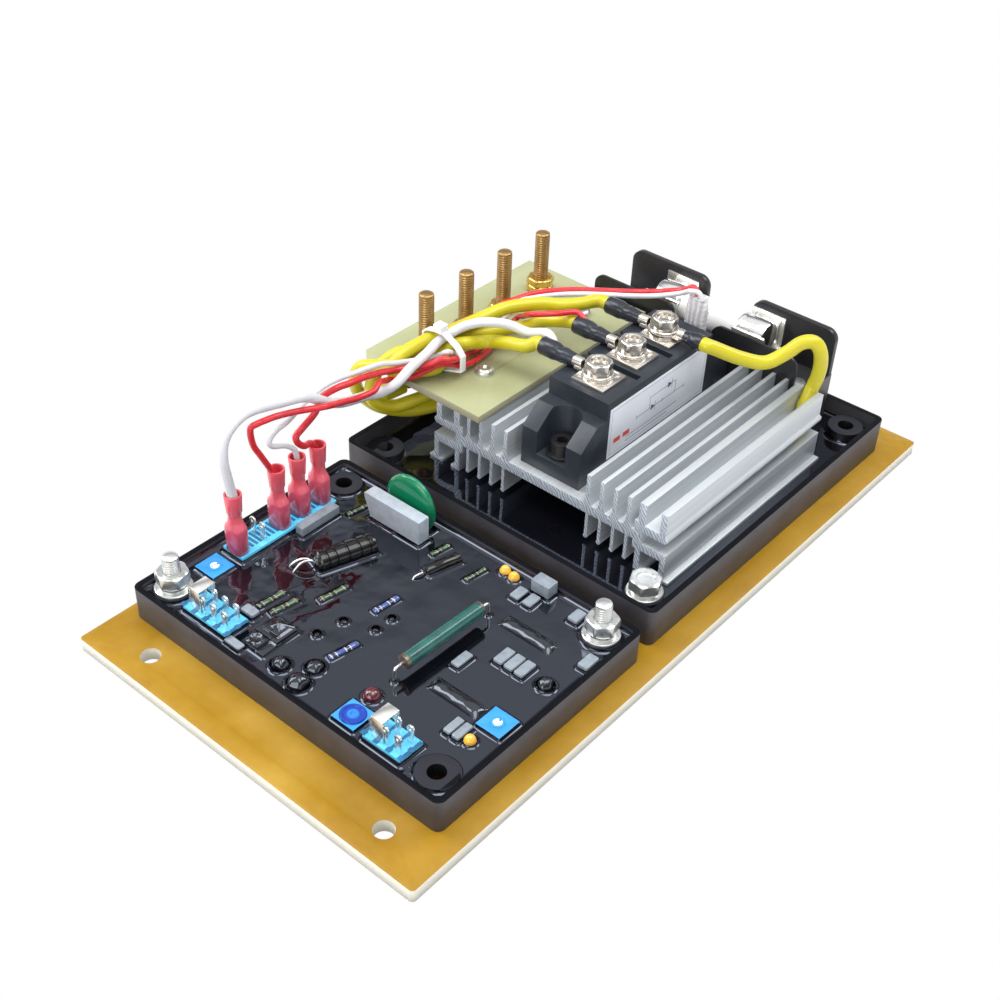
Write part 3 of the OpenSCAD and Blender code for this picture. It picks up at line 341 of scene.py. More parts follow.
band_mat("resistor_body", (0.045, 0.085, 0.04), ((0.3, 0.36, 0.22), (0.02, 0.02, 0.015)))
band_mat("resistor_blue", (0.05, 0.085, 0.26), ((0.6, 0.68, 0.85), (0.02, 0.02, 0.05)))

# ---- helpers for pieces ----


def smooth_group(angle):
    """Geometry nodes that shade smooth and keep edges above the angle sharp."""
    g = bpy.data.node_groups.new("smooth_by_angle", "GeometryNodeTree")
    for way in ("INPUT", "OUTPUT"):
        g.interface.new_socket("Geometry", in_out=way, socket_type="NodeSocketGeometry")
    i, o, face, edge, ang, sharp = (g.nodes.new(kind) for kind in (
        "NodeGroupInput", "NodeGroupOutput", "GeometryNodeSetShadeSmooth", "GeometryNodeSetShadeSmooth",
        "GeometryNodeInputMeshEdgeAngle", "FunctionNodeCompare"))
    edge.domain = "EDGE"
    edge.inputs["Shade Smooth"].default_value = False
    sharp.data_type = "FLOAT"
    sharp.operation = "GREATER_THAN"
    sharp.inputs[1].default_value = radians(angle)
    for a, b in ((ang.outputs[0], sharp.inputs[0]), (sharp.outputs[0], edge.inputs["Selection"]),
                 (i.outputs[0], face.inputs[0]), (face.outputs[0], edge.inputs[0]), (edge.outputs[0], o.inputs[0])):
        g.links.new(a, b)
    return g


SMOOTH = smooth_group(32)


def smooth(o):
    o.modifiers.new("smooth", "NODES").node_group = SMOOTH


def dress(node, mat, bevel):
    """A CAD node shown as it is, with softened edges."""
    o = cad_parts[node]
    o.data.materials.clear()
    o.data.materials.append(M[mat])
    for p in o.data.polygons:
        p.material_index = 0
    o.modifiers.new("weld", "WELD").merge_threshold = 2e-6
    if bevel:
        b = o.modifiers.new("bevel", "BEVEL")
        b.width = bevel * MM
        b.segments = 2
        b.limit_method = "ANGLE"
        b.angle_limit = radians(35)
        b.use_clamp_overlap = True
        b.miter_outer = "MITER_ARC"
    smooth(o)


def piece(name, bm, mat, slot=None, body="regulator", replaces=()):
    me = bpy.data.meshes.new(name)
    bm.to_mesh(me)
    bm.free()
    o = bpy.data.objects.new(name, me)
    scene.collection.objects.link(o)
    me.materials.append(M[mat])
    smooth(o)
    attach(o, body)
    if replaces:
        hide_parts(*replaces)


def box(bm, x0, x1, y0, y1, z0, z1):
    lo, hi = Vector((x0, y0, z0)) * MM, Vector((x1, y1, z1)) * MM
    bmesh.ops.create_cube(bm, size=1, matrix=Matrix.Translation((lo + hi) / 2) @ Matrix.Diagonal((*(hi - lo), 1)))


def ring(bm, x, y, z, radius, n, turn=0.0):
    """A level ring of vertices, in mm; radius is a number, or gives one for each angle."""
    out = []
    for k in range(n):
        a = turn + 2 * pi * k / n
        r = radius(a) if callable(radius) else radius
        out.append(bm.verts.new(((x + r * cos(a)) * MM, (y + r * sin(a)) * MM, z * MM)))
    return out


def skin(bm, rings, close=True):
    """Joins rings of vertices, and closes both ends."""
    n = len(rings[0])
    for p, q in zip(rings, rings[1:]):
        for k in range(n):
            bm.faces.new((p[k], p[(k + 1) % n], q[(k + 1) % n], q[k]))
    if close:
        bm.faces.new(rings[0][::-1])
        bm.faces.new(rings[-1])


def lathe(bm, prof, at, n=32, wobble=None):
    """Turns a profile of (radius, height) pairs, in mm, about Z; at is a place in mm or a matrix."""
    base = at if isinstance(at, Matrix) else Matrix.Translation(Vector(at) * MM)
    rings = []
    for r, z in prof:
        if r <= 1e-6:
            rings.append([bm.verts.new(base @ Vector((0, 0, z * MM)))])
            continue
        row = []
        for k in range(n):
            a = 2 * pi * k / n
            rr = r * (wobble(a, z) if wobble else 1) * MM
            row.append(bm.verts.new(base @ Vector((rr * cos(a), rr * sin(a), z * MM))))
        rings.append(row)
    for p, q in zip(rings, rings[1:]):
        for k in range(n):
            k2 = (k + 1) % n
            if len(p) > 1 and len(q) > 1:
                bm.faces.new((p[k], p[k2], q[k2], q[k]))
            elif len(q) > 1:
                bm.faces.new((p[0], q[k2], q[k]))
            elif len(p) > 1:
                bm.faces.new((p[k], p[k2], q[0]))


def run(bm, a, b, prof, n=32, wobble=None):
    """Turned profile laid from point a towards b; prof gives (radius, share of the length)."""
    a, b = Vector(a) * MM, Vector(b) * MM
    m = Matrix.Translation(a) @ (b - a).to_track_quat("Z", "Y").to_matrix().to_4x4()
    lathe(bm, [(r, t * (b - a).length / MM) for r, t in prof], m, n, wobble)


def hex_head(bm, x, y, z0, z1, across, bore=0.0, dish=0.0, turn=0.0):
    """Hex nut or head with turned-off corners; a bore makes a nut, a dish a head with a sunk top."""
    n = 48
    ap = across / 2
    full, chamfer = ap / cos(pi / 6), ap * 0.16

    def hexagon(cap):
        return lambda a: min(ap / cos((a - turn + pi / 6) % (pi / 3) - pi / 6), cap)
    rows = [(ap * 0.97, z0), (full, z0 + chamfer)] if bore else [(full, z0)]
    rows += [(full, z1 - chamfer), (ap * 1.07, z1 - chamfer * 0.42), (ap * 0.95, z1)]
    if dish:
        rows += [(ap * 0.74, z1), (ap * 0.66, z1 - 0.12 * dish), (ap * 0.6, z1 - dish), (ap * 0.3, z1 - dish)]
    rings = [ring(bm, x, y, z, hexagon(r), n, turn) for r, z in rows]
    if bore:
        rings += [ring(bm, x, y, z, bore / 2, n, turn) for z in (z1, z0)]
        rings.append(rings[0])
    skin(bm, rings, close=not bore)


def thread(bm, x, y, z0, z1, d):
    """A rod with a helical groove and a rounded tip."""
    pitch, depth, n, tip, steps = 1.0, 0.5, 28, 1.2, 6
    rows = int((z1 - z0 - tip) / pitch * steps)

    def groove(i):
        return lambda a: d / 2 - depth * (1 - abs(2 * ((i / steps - a / (2 * pi)) % 1.0) - 1)) * 0.5
    rings = [ring(bm, x, y, z0 + i * pitch / steps, groove(i), n) for i in range(rows + 1)]
    zt = z0 + rows * pitch / steps
    for f in (0.25, 0.5, 0.72, 0.88, 0.97):
        rings.append(ring(bm, x, y, zt + (z1 - zt) * (0.25 + 0.75 * f),
                          (d / 2 - depth * 0.25) * sqrt(1 - f * f), n))
    skin(bm, rings)


def smooth_route(pts, k):
    """Points of a smooth curve through pts, k to each span."""
    P = [Vector(p) for p in pts]
    out = []
    for i in range(len(P) - 1):
        a, b, c, d = P[max(i - 1, 0)], P[i], P[i + 1], P[min(i + 2, len(P) - 1)]
        for j in range(k):
            t = j / k
            out.append(0.5 * (2 * b + (c - a) * t + (2 * a - 5 * b + 4 * c - d) * t * t
                              + (3 * b - a - 3 * c + d) * t ** 3))
    out.append(P[-1])
    return out


def tube(bm, pts, d, k=6, n=16):
    """A round lead of diameter d swept along its route, in mm."""
    Q = smooth_route(pts, k)
    T = [(Q[min(i + 1, len(Q) - 1)] - Q[max(i - 1, 0)]).normalized() for i in range(len(Q))]
    u = T[0].cross(Vector((0.3, 0.2, 0.93))).normalized()
    turns = [2 * pi * s / n for s in range(n)]
    rings = []
    for q, t in zip(Q, T):
        u = (u - t * u.dot(t)).normalized()
        w = t.cross(u)
        rings.append([bm.verts.new((q + (u * cos(a) + w * sin(a)) * d / 2) * MM) for a in turns])
    skin(bm, rings)


def loft(bm, rows, close=True):
    """Rows of points in mm joined into a skin."""
    skin(bm, [[bm.verts.new(Vector(p) * MM) for p in row] for row in rows], close)


# ---- CAD nodes shown as they are ----

# material, width of the softened edges, and the nodes
for mat, bev, nodes in (
        ("board_laminate", 0.25, "base_board"), ("tray_plastic", 0.35, "regulator_tray power_tray"),
        ("potting", 0, "regulator_potting power_potting"),
        ("circuit_board", 0, "regulator_circuit_board power_circuit_board"), ("sink_aluminium", 0.12, "heat_sink"),
        ("module_plate", 0.1, "module_base"), ("module_plastic", 0.45, "module_housing"),
        ("label_paper", 0, "module_label"), ("nickel", 0.25, "module_terminals"),
        ("black_steel", 0.3, "module_bolts"), ("nickel", 0.15, "ring_lugs"),
        ("terminal_laminate", 0.15, "terminal_board"), ("block_plastic", 0.3, "fuse_block"),
        ("clip_metal", 0.15, "fuse_clips"), ("fuse_ceramic", 0.2, "fuse_body"), ("zinc", 0.3, "fuse_block_screws"),
        ("trimmer_blue", 0.3, "trimmer_a_body trimmer_b_body trimmer_c_body"),
        ("rotor_white", 0.12, "trimmer_a_rotor trimmer_c_rotor"),
        ("connector_cyan", 0.25, "output_connector link_connector_a link_connector_b"),
        ("tab_tin", 0.08, "contact_tabs"), ("tab_tin", 0.1, "shorting_links"),
        ("capacitor_grey", 0.5, "film_capacitor"), ("capacitor_dark", 0.55, "box_capacitors"),
        ("resin_lump", 0.9, "transistor"), ("tie_nylon", 0.15, "cable_tie")):
    for node in nodes.split():
        dress(node, mat, bev)

# ---- leads ----

# node, material, and each lead's diameter and route
LEADS = (
    ("yellow_leads", "wire_yellow", (
        (5.2, (
         (-22, 68.8, 61.3), (-26.1, 68.8, 61.4), (-30.1, 67.7, 61.4), (-34, 61.5, 61), (-39.3, 56.6, 60.4),
         (-44.9, 51.9, 60.8), (-52.7, 42.3, 60.1), (-57.4, 33, 57.9), (-60.5, 22.5, 56.5), (-63, 13.5, 56),
         (-64.5, 7, 55.5), (-66, -2.5, 54), (-67.5, -8, 50.5), (-78.5, -12.5, 47), (-83, -10.5, 35),
         (-79, -6, 27.5), (-74.3, -2.1, 25.4), (-69, 3, 24.5), (-63.8, 9.5, 25.2), (-59.5, 17, 27),
         (-57.1, 25.9, 29.4), (-56, 34.5, 32), (-56.5, 46, 35.5), (-58, 54, 37.5))),
        (5.2, (
         (-22, 48.8, 61.3), (-25.9, 48.8, 61.4), (-28, 48.8, 61.3), (-33.5, 49.5, 59), (-41.5, 48.5, 56),
         (-45.3, 44.7, 53.4), (-50, 39, 53.5), (-55.5, 32.5, 52), (-61.1, 27, 51.2), (-62.1, 19.5, 50.6),
         (-62.6, 10.5, 47.5), (-69, 4.5, 50), (-72.5, 0, 49.5), (-75, -7.5, 44.5), (-75.5, -10, 33.5),
         (-70.5, -4.5, 29.5), (-65.9, 0.5, 31), (-61.5, 6.5, 33.5), (-58.9, 12.9, 35.5), (-57.5, 19.5, 37),
         (-58.5, 32, 37.5))),
        (5.2, (
         (-22, 28.6, 61.3), (-25.9, 28.4, 61.3), (-28, 28.3, 61.2), (-31, 26, 59.5), (-39, 26.5, 57),
         (-48, 27.5, 53.5), (-51.9, 23.9, 53), (-53.3, 18, 54.7), (-57.8, 13.7, 52.9), (-57, 6.3, 48),
         (-62.2, -2, 47.7), (-66.2, -8.3, 44.2), (-69, -9, 39.5), (-70, -6, 36.5), (-69.5, 1, 36))),
        (5.4, (
         (14.5, 68.8, 62.3), (18.2, 68.8, 62.3), (20, 68.9, 62.3), (22, 70.5, 61.4), (29, 77, 57.5),
         (35.5, 85, 54.5), (40, 91.5, 57.5), (43.6, 95.4, 61.8), (47.4, 98, 62.6), (49.8, 99.6, 59),
         (50.1, 101.4, 52.5), (49.4, 102.4, 46.5), (48.5, 102.1, 41.8), (48.4, 100, 38.2), (48.4, 97.8, 34.5),
         (48.4, 97.2, 29), (48.4, 97.2, 20), (48.4, 97.2, 12.2))))),
    ("white_lead", "wire_white", (
        (3.7, (
         (-21, 30.2, 61.8), (-26.1, 32.3, 64.1), (-35, 32, 61), (-41, 29.5, 62.5), (-46, 26.5, 63),
         (-51.5, 23.5, 62), (-56, 20, 60), (-58, 15, 58.5), (-59, 9, 57), (-57.5, 1, 56), (-56, -9.1, 55.1),
         (-55.2, -17.6, 52.7), (-61, -19.9, 47.4), (-63.2, -25.5, 47.6), (-62.5, -37.3, 51), (-58.7, -48.1, 58.3),
         (-58.2, -58.4, 65.7), (-60, -68.5, 67.5), (-60.5, -81, 70), (-60.5, -88, 68.5), (-60.5, -92.5, 64),
         (-60, -94, 57.5), (-60, -93, 49.5), (-60, -91.5, 40.5))),)),
    ("thin_white_lead", "wire_white", (
        (2, (
         (6, 84.5, 69), (4, 84.5, 71.5), (1.1, 83.3, 71.7), (-1.5, 84.2, 69.9), (-5, 84.9, 67.5),
         (-13.5, 81.5, 64.5), (-21, 75.5, 64), (-29.5, 71.5, 62.8), (-39.5, 68, 60.5), (-47.5, 64, 58.5),
         (-54, 58, 57), (-57, 52.5, 56), (-58, 44.5, 50.5), (-59.5, 38, 47), (-60.7, 31.5, 46.1),
         (-61.4, 28.1, 46.1), (-55.7, 16.8, 48.8), (-51.8, 7, 56.6), (-55.3, 6.5, 54.2), (-59.5, 4.5, 51.5),
         (-61.5, -3, 53), (-62, -11, 55.5), (-62, -18.5, 58.5), (-62.2, -30, 60.5), (-62.5, -41.5, 62),
         (-63, -49, 61), (-63, -55.5, 59), (-61, -64.5, 57.5), (-61, -69.5, 56.5), (-61, -73, 54),
         (-60.5, -72.5, 51.5), (-60.5, -66.5, 48.5), (-60, -63, 45), (-60, -62, 39.5))),)),
    ("red_leads", "wire_red", (
        (2.3, (
         (-21, 49.4, 62.2), (-25.9, 50.1, 65.4), (-31.5, 45, 65), (-37, 42.5, 63.5), (-42.3, 41.8, 61.4),
         (-49.6, 47.1, 55.3), (-56, 51, 50), (-54.5, 38.5, 47), (-51.5, 26.5, 46.6), (-50.3, 15.2, 48.1),
         (-54, 5.3, 51), (-56.5, -0.5, 49.6), (-59, -5, 48), (-62, -10.5, 48.4), (-62.8, -13.2, 49),
         (-58.9, -22.3, 53.9), (-57, -27, 53.5), (-57, -35.5, 54.5), (-56.3, -43.4, 57.1), (-54.5, -52.6, 60.7),
         (-57.9, -61.6, 61.8), (-58.5, -70.5, 64), (-59, -75.5, 64.5), (-59.5, -79, 64.5), (-60, -81.5, 63.5),
         (-60, -81, 57), (-60, -78, 50.5), (-60, -74, 42.5), (-60, -72, 39))),
        (2.5, (
         (3, 86.5, 69), (0.5, 86.5, 71.5), (-2, 87.2, 70.1), (-6, 87.5, 67.5), (-15.5, 85, 64), (-23.5, 79.5, 63),
         (-32.5, 75.5, 61.5), (-42, 71, 60), (-49.5, 66.5, 58.5), (-56, 60.5, 57), (-60.5, 54, 55), (-62.5, 49, 54),
         (-62, 42, 52), (-57.5, 33.5, 47.5), (-55.6, 28.5, 46.4), (-54.2, 20.5, 48.4), (-51, 12.9, 51.7),
         (-49.9, 5.5, 54.5), (-51.9, 3, 55.1), (-55, -0.5, 53), (-59.5, -5.5, 52), (-61.5, -11.5, 53),
         (-61.5, -19, 55.5), (-60.7, -27.6, 58), (-59.8, -36.1, 59.8), (-61.1, -40.8, 59.6), (-63.8, -46.2, 56.7),
         (-62.1, -50.7, 53.7), (-60.5, -58, 52), (-60.5, -61.5, 50), (-60, -61.5, 47.5), (-59.5, -59, 45),
         (-60.5, -55, 43.5), (-60, -52.5, 39))))),
)
STUD_BOOTS = (((-69.9, 2.8, 36.5), (-70.5, 7.6, 37.8)), ((-61.2, 33.6, 37.6), (-64.2, 35.3, 37.8)),
              ((-60.5, 55.5, 37.6), (-64.2, 57.7, 37.8)))

for node, mat, runs in LEADS:
    bm = bmesh.new()
    for d, pts in runs:
        tube(bm, pts, d)
    piece("smooth_" + node, bm, mat, replaces=(node,))

# ---- fixings ----

STUD_AT = ((-61.7, -118.2), (57.7, -38.8))
BOLT_AT = ((55.7, -12.1), (-66.3, 123.1))


def washers(bm, x, y, z, flat_d, spring_d, bore, flat_t=1.2, spring_t=1.4):
    """A flat washer and a split spring washer on it."""
    b, r, top = bore / 2, flat_d / 2, z + flat_t
    lathe(bm, [(b, z), (r - 0.1, z), (r, z + 0.15), (r, top - 0.25), (r - 0.3, top), (b, top), (b, z)],
          (x, y, 0), n=48)
    # split ring: a square section swept almost all the way round, one end raised
    n, r0, r1 = 44, b + 0.1, spring_d / 2
    rows = []
    for i in range(n + 1):
        a = radians(200 + 350 * i / n)
        z0 = top + 0.105 * i / n
        z1 = z0 + spring_t - 0.3
        rows.append([(x + rr * cos(a), y + rr * sin(a), zz)
                     for rr, zz in ((r0, z0), (r1, z0), (r1, z1), (r0, z1))])
    loft(bm, rows)


bm = bmesh.new()
for x, y in STUD_AT:
    thread(bm, x, y, 0.3, 31, 5.9)
piece("tray_stud_threads", bm, "zinc", replaces=("tray_studs",))
bm = bmesh.new()
for x, y in STUD_AT:
    washers(bm, x, y, BOSS_TOP, 13, 10.2, 6.1)
    hex_head(bm, x, y, BOSS_TOP + 2.7, BOSS_TOP + 7.7, 10.4, bore=6.1, turn=0.2)
piece("tray_nut_stacks", bm, "zinc", replaces=("tray_nuts",))
bm = bmesh.new()
for x, y in BOLT_AT:
    lathe(bm, [(0, 0.3), (2.9, 0.3), (2.9, BOSS_TOP + 3), (0, BOSS_TOP + 3)], (x, y, 0))
    washers(bm, x, y, BOSS_TOP, 13, 10.2, 6.1)
    hex_head(bm, x, y, BOSS_TOP + 2.6, BOSS_TOP + 6.6, 10.4, dish=0.9, turn=0.4)
piece("tray_bolt_heads", bm, "zinc", replaces=("tray_bolts",))

TERM_Y = (28.8, 48.8, 68.8)
bm = bmesh.new()
for i, y in enumerate(TERM_Y):
    z = 61.7 if i == 2 else 60.7
    lathe(bm, [(0, 53.5), (2.45, 53.5), (2.45, z + 1), (0, z + 1)], (0.2, y, 0))
    washers(bm, 0.2, y, z, 11.4, 8.6, 5, 0.8, 1.3)
    hex_head(bm, 0.2, y, z + 1.9, z + 5.2, 9, dish=1.5, turn=0.3 + i)
piece("module_screw_heads", bm, "nickel", replaces=("module_screws",))

STUDS = ((-71, 15.5), (-71, 38), (-71, 60.5), (-70.2, 83))
bm = bmesh.new()
for x, y in STUDS:
    thread(bm, x, y, 33.5, 70.4, 6)
piece("terminal_stud_threads", bm, "stud_brass", replaces=("terminal_studs",))
bm = bmesh.new()
for i, (x, y) in enumerate(STUDS):
    hex_head(bm, x, y, PLATE_TOP, 47.2, 10, bore=6.05, turn=0.15 * i)
    hex_head(bm, x, y, 36.8, 40, 10, bore=6.05)
    lathe(bm, [(3.05, 40), (5.7, 40), (5.7, 41), (3.05, 41), (3.05, 40)], (x, y, 0))
    if i == 3:
        hex_head(bm, x, y, 47.2, 50.4, 9.9, bore=6.05, turn=0.35)
piece("terminal_brass_nuts", bm, "nut_brass", replaces=("terminal_nuts",))

bm = bmesh.new()
for x, y in ((-45.6, 20.5), (-45.6, 79.5)):
    lathe(bm, [(0, 33.5), (2, 33.5), (2, 45), (0, 45)], (x, y, 0))
    lathe(bm, [(0, PLATE_TOP), (3.7, PLATE_TOP), (3.7, 45.1), (3.35, 45.8), (2.5, 46.4), (1.3, 46.4), (0.5, 45.7),
               (0, 45.7)], (x, y, 0), n=40)
    box(bm, x - 2.9, x + 2.9, y - 3.5, y + 3.5, 35, 38)
piece("terminal_screws", bm, "zinc", replaces=("terminal_board_screws",))

# ---- boots and sleeves ----

BOOT = ((0.55, 0.02), (0.6, 0), (0.68, 0.01), (0.72, 0.04), (0.76, 0.16), (0.84, 0.28), (0.9, 0.34), (0.86, 0.42),
        (0.9, 0.5), (1, 0.6), (1, 0.97), (0.95, 1), (0.72, 1))
BARREL = ((1.4, 0.08), (1.6, 0), (2, 0.02), (2.1, 0.1), (2.1, 1), (0, 1))


def scaled(prof, r):
    return [(k * r, t) for k, t in prof]


def crimp(a, z):
    """A pinch on the upper side, a little way from the neck."""
    return 1 - 0.16 * max(0.0, sin(a)) ** 3 * exp(-((z - 6.2) / 1.3) ** 2)


bm = bmesh.new()
for y in TERM_Y:
    run(bm, (-10.4, y, 61.3), (-25.4, y, 61.3), scaled(BOOT, 3.5), wobble=crimp)
run(bm, (9.8, 68.8, 62.3), (17.7, 68.8, 62.3), scaled(BOOT, 3.1))
for a, b in STUD_BOOTS:
    run(bm, b, a, scaled(BOOT, 2.7))
piece("boot_sleeves", bm, "black_boot", replaces=("lug_boots",))
bm = bmesh.new()
for y in TERM_Y:
    run(bm, (-6.4, y, 61.5), (-12, y, 61.3), BARREL, n=24)
run(bm, (7, 68.8, 62.3), (11, 68.8, 62.3), BARREL, n=24)
piece("lug_barrels", bm, "nickel", slot="nickel")


def oval(x, y, z, hx, hy, power, n=40):
    """A level superellipse: an ellipse at power 2, squarer above it."""
    def share(v):
        return copysign(abs(v) ** (2 / power), v)
    turns = [2 * pi * k / n for k in range(n)]
    return [(x + hx * share(cos(a)), y + hy * share(sin(a)), z) for a in turns]


# height above the connector, half widths and squareness, up the outside and a little way down the inside
SLEEVE = ((0, 3.9, 2.7, 3), (0.5, 4.1, 3, 3), (9.8, 4.1, 3, 3), (10.9, 3.9, 2.9, 2.7), (11.7, 3.3, 2.75, 2.2),
          (13.2, 2.7, 2.55, 2), (14.7, 2.4, 2.4, 2), (16.6, 2.45, 2.45, 2), (17.3, 2.8, 2.8, 2),
          (23.9, 3.15, 3.15, 2), (24.4, 3.1, 3.1, 2), (24.4, 2.5, 2.5, 2), (19.2, 2.4, 2.4, 2))
bm = bmesh.new()
for y in (-91.4, -71.9, -62.15, -52.4):
    loft(bm, [oval(-60.1, y, CONNECTOR_TOP + z, *half) for z, *half in SLEEVE])
piece("receptacle_sleeves", bm, "sleeve_pink", replaces=("faston_sleeves",))

bm = bmesh.new()
rows = []
for j in range(29):
    t = j / 28
    rib = 0.16 * cos(t * 2 * pi * 9)
    hx = 4.45 - 0.8 * max(t - 0.72, 0) / 0.28 + rib
    hy = (2.45 if t < 0.72 else 2.4) + rib * 0.6
    rows.append(oval(3.6, 85.6, 51.3 + 18 * t, min(hx, 4.6), min(hy, 2.6), 3))
loft(bm, rows)
piece("gate_sleeve_ribbed", bm, "clear_sleeve", replaces=("gate_sleeve",))

# ---- parts in the resin ----


def keep_above(name, bm, mat, **kw):
    """A piece cut off at the front tray's resin."""
    g = bmesh.ops.bisect_plane(bm, geom=bm.verts[:] + bm.edges[:] + bm.faces[:], plane_co=(0, 0, RESIN_Z * MM),
                               plane_no=(0, 0, 1), clear_inner=True)
    bmesh.ops.edgeloop_fill(bm, edges=[e for e in g["geom_cut"] if isinstance(e, bmesh.types.BMEdge)])
    piece(name, bm, mat, **kw)


bm = bmesh.new()
arc = [pi * k / 24 for k in range(1, 24)]
prof = [(0, -2)] + [(11.6 * sin(a) ** 0.35, -2 * cos(a)) for a in arc] + [(0, 2)]
m = Matrix.Translation(Vector((-29.6, -36.6, 23.2)) * MM) @ Matrix.Rotation(radians(90), 4, "X")
lathe(bm, prof, m, n=56, wobble=lambda a, z: 1 - 0.012 * (1 + sin(3 * a + 1)))
keep_above("varistor_disc", bm, "varistor_green", replaces=("varistor",))

RESISTOR_CAP = ((0, 0), (1.9, 0), (2.6, 0.2), (2.72, 0.5), (2.72, 1), (2.5, 1))
bm = bmesh.new()
run(bm, (22.3, -95.4, 21), (23.4, -59.6, 21),
    [(0, 0), (1.6, 0), (2.3, 0.008), (2.65, 0.03), (2.6, 0.06), (2.6, 0.94), (2.65, 0.97), (2.3, 0.992), (1.6, 1),
     (0, 1)])
piece("power_resistor_body", bm, "resistor_enamel", replaces=("power_resistor",))
bm = bmesh.new()
for pts in (((22.3, -95.3, 21), (22.2, -97.6, 21), (22.2, -98.9, 20.6), (22.2, -99.2, 19.4), (22.2, -99.2, 15)),
            ((23.4, -59.7, 21), (23.5, -57.4, 21), (23.5, -56.1, 20.6), (23.5, -55.8, 19.4), (23.5, -55.8, 15))):
    tube(bm, pts, 1.1, 4, 12)
piece("power_resistor_wires", bm, "tin_lead", slot="resistor_enamel")
bm = bmesh.new()
run(bm, (22.29, -95.55, 21), (22.4, -93.9, 21), RESISTOR_CAP)
run(bm, (23.41, -59.45, 21), (23.36, -60.7, 21), RESISTOR_CAP)
piece("power_resistor_caps", bm, "cap_brown", slot="resistor_enamel")

CANS = (((-36, -78), (-29, -56.6), 8.8), ((-6, -54.4), (-2.8, -41.4), 4.9))
CAN = ((0, 0), (0.86, 0), (0.97, 0.015), (1, 0.04), (1, 0.09), (0.93, 0.12), (0.93, 0.14), (1, 0.17), (1, 0.965),
       (0.97, 0.99), (0.9, 1), (0, 1))
RIBS = [(0, 0), (0.8, 0), (0.95, 0.01), (1, 0.04)]
for t in (0.14, 0.3, 0.5, 0.7, 0.84):
    RIBS += [(1, t - 0.035), (0.9, t - 0.02), (0.9, t), (1, t + 0.015)]
RIBS += [(1, 0.93), (0.88, 0.96), (0.84, 1), (0, 1)]
bm = bmesh.new()
for (foot, top, d), z, r, prof, n in zip(CANS, (16.6, 15.8), (4.5, 2.5), (RIBS, CAN), (40, 32)):
    run(bm, (*top, z), (*foot, z), scaled(prof, r), n)
keep_above("electrolytic_cans", bm, "electrolytic_sleeve", replaces=("electrolytics",))
bm = bmesh.new()
for d, pts in (
        (1, ((-35.2, -77.6, 17.6), (-37, -79.4, 18.6), (-38.6, -82, 18), (-39.6, -84.2, 15.6), (-39.8, -84.8, 14.6))),
        (1, ((-36.6, -77.4, 16.6), (-39, -78.8, 17.8), (-41, -80.6, 17.4), (-42.6, -82.6, 15.8), (-43, -83.4, 14.6))),
        (0.9, ((-6.1, -54.8, 15.9), (-6.6, -56.8, 16.2), (-7.2, -58.8, 15.6), (-7.4, -59.6, 14.6)))):
    tube(bm, pts, d, 5, 12)
piece("electrolytic_wires", bm, "tin_lead", slot="electrolytic_sleeve")

BODY_R = ((0, 0), (0.7, 0), (0.95, 0.03), (1, 0.09), (1, 0.2), (0.86, 0.26), (0.84, 0.5), (0.86, 0.74), (1, 0.8),
          (1, 0.91), (0.95, 0.97), (0.7, 1), (0, 1))
# plan of each box capacitor: x0, x1, y0, y1
BOX_CAPS = ((-53.9, -50.1, -70.4, -52.1), (-37.4, -31.4, -110.6, -107), (-30.6, -23.4, -123.6, -120.6),
            (30.2, 33.6, -82, -74.4), (39.2, 42.8, -71.8, -64.2), (43.5, 47.1, -71.8, -64.2),
            (47.8, 51.4, -71.8, -64.2), (47.8, 50.6, -105, -97.6), (51.3, 54.1, -105, -97.6),
            (23, 26.8, -44.6, -38.4), (28.4, 32.2, -44.6, -38.4), (26.2, 34, -37.2, -31.9),
            (44.6, 48.6, -40.4, -34.4), (60.6, 64.6, -55.4, -48.4))
# ends of the small resistors and their diameters
RES = (((-35.1, -105.2), (-34.1, -93.6), 2.8), ((-29.7, -104.6), (-28, -93.4), 2.8),
       ((-22.5, -89.2), (-20.6, -77.4), 2.8), ((-5.2, -80.8), (-4.2, -70), 2.8),
       ((-0.4, -106), (1.6, -94.8), 2.8), ((-48.2, -50.6), (-46.8, -42), 2.4),
       ((-11.2, -46.4), (-10, -38), 2.4), ((6.4, -48.4), (7.6, -39), 2.2))
bm = bmesh.new()
blue = bmesh.new()
for (ax, ay), (bx, by), d in RES:
    run(blue if -8 < ax < 0 else bm, (ax, ay, 15.1), (bx, by, 15.1), scaled(BODY_R, d / 2), n=20)
keep_above("small_resistor_bodies", bm, "resistor_body", replaces=("small_resistors",))
keep_above("small_resistor_blue", blue, "resistor_blue", slot="resistor_body")

ARC = [(cos(radians(a)), sin(radians(a))) for a in range(0, 90, 6)]
# centre, radius and height of the domes that resin makes over buried parts
DOMES = ((-9.4, -118.6, 3.5, 3.6), (0.8, -120.2, 4.2, 4), (-0.4, -112, 3.4, 3), (58.4, -68.4, 3.2, 3.4),
         (-9.2, -90.7, 1.6, 0.8), (-11.2, -100.8, 1.6, 0.8), (1.6, -79, 1.5, 0.8), (1.3, -86.4, 1.5, 0.8))
BEADS = ((13.6, -35.4), (18, -36), (56.4, -102))
LAMP = (21.6, -108.6)


def uneven(ph):
    """Dents that turn a round dome into a lump; ph sets where they lie."""
    return lambda a, z: 1 - 0.065 * (1 + sin(2 * a + ph + z)) - 0.045 * (1 + sin(5 * a + 2 * ph))


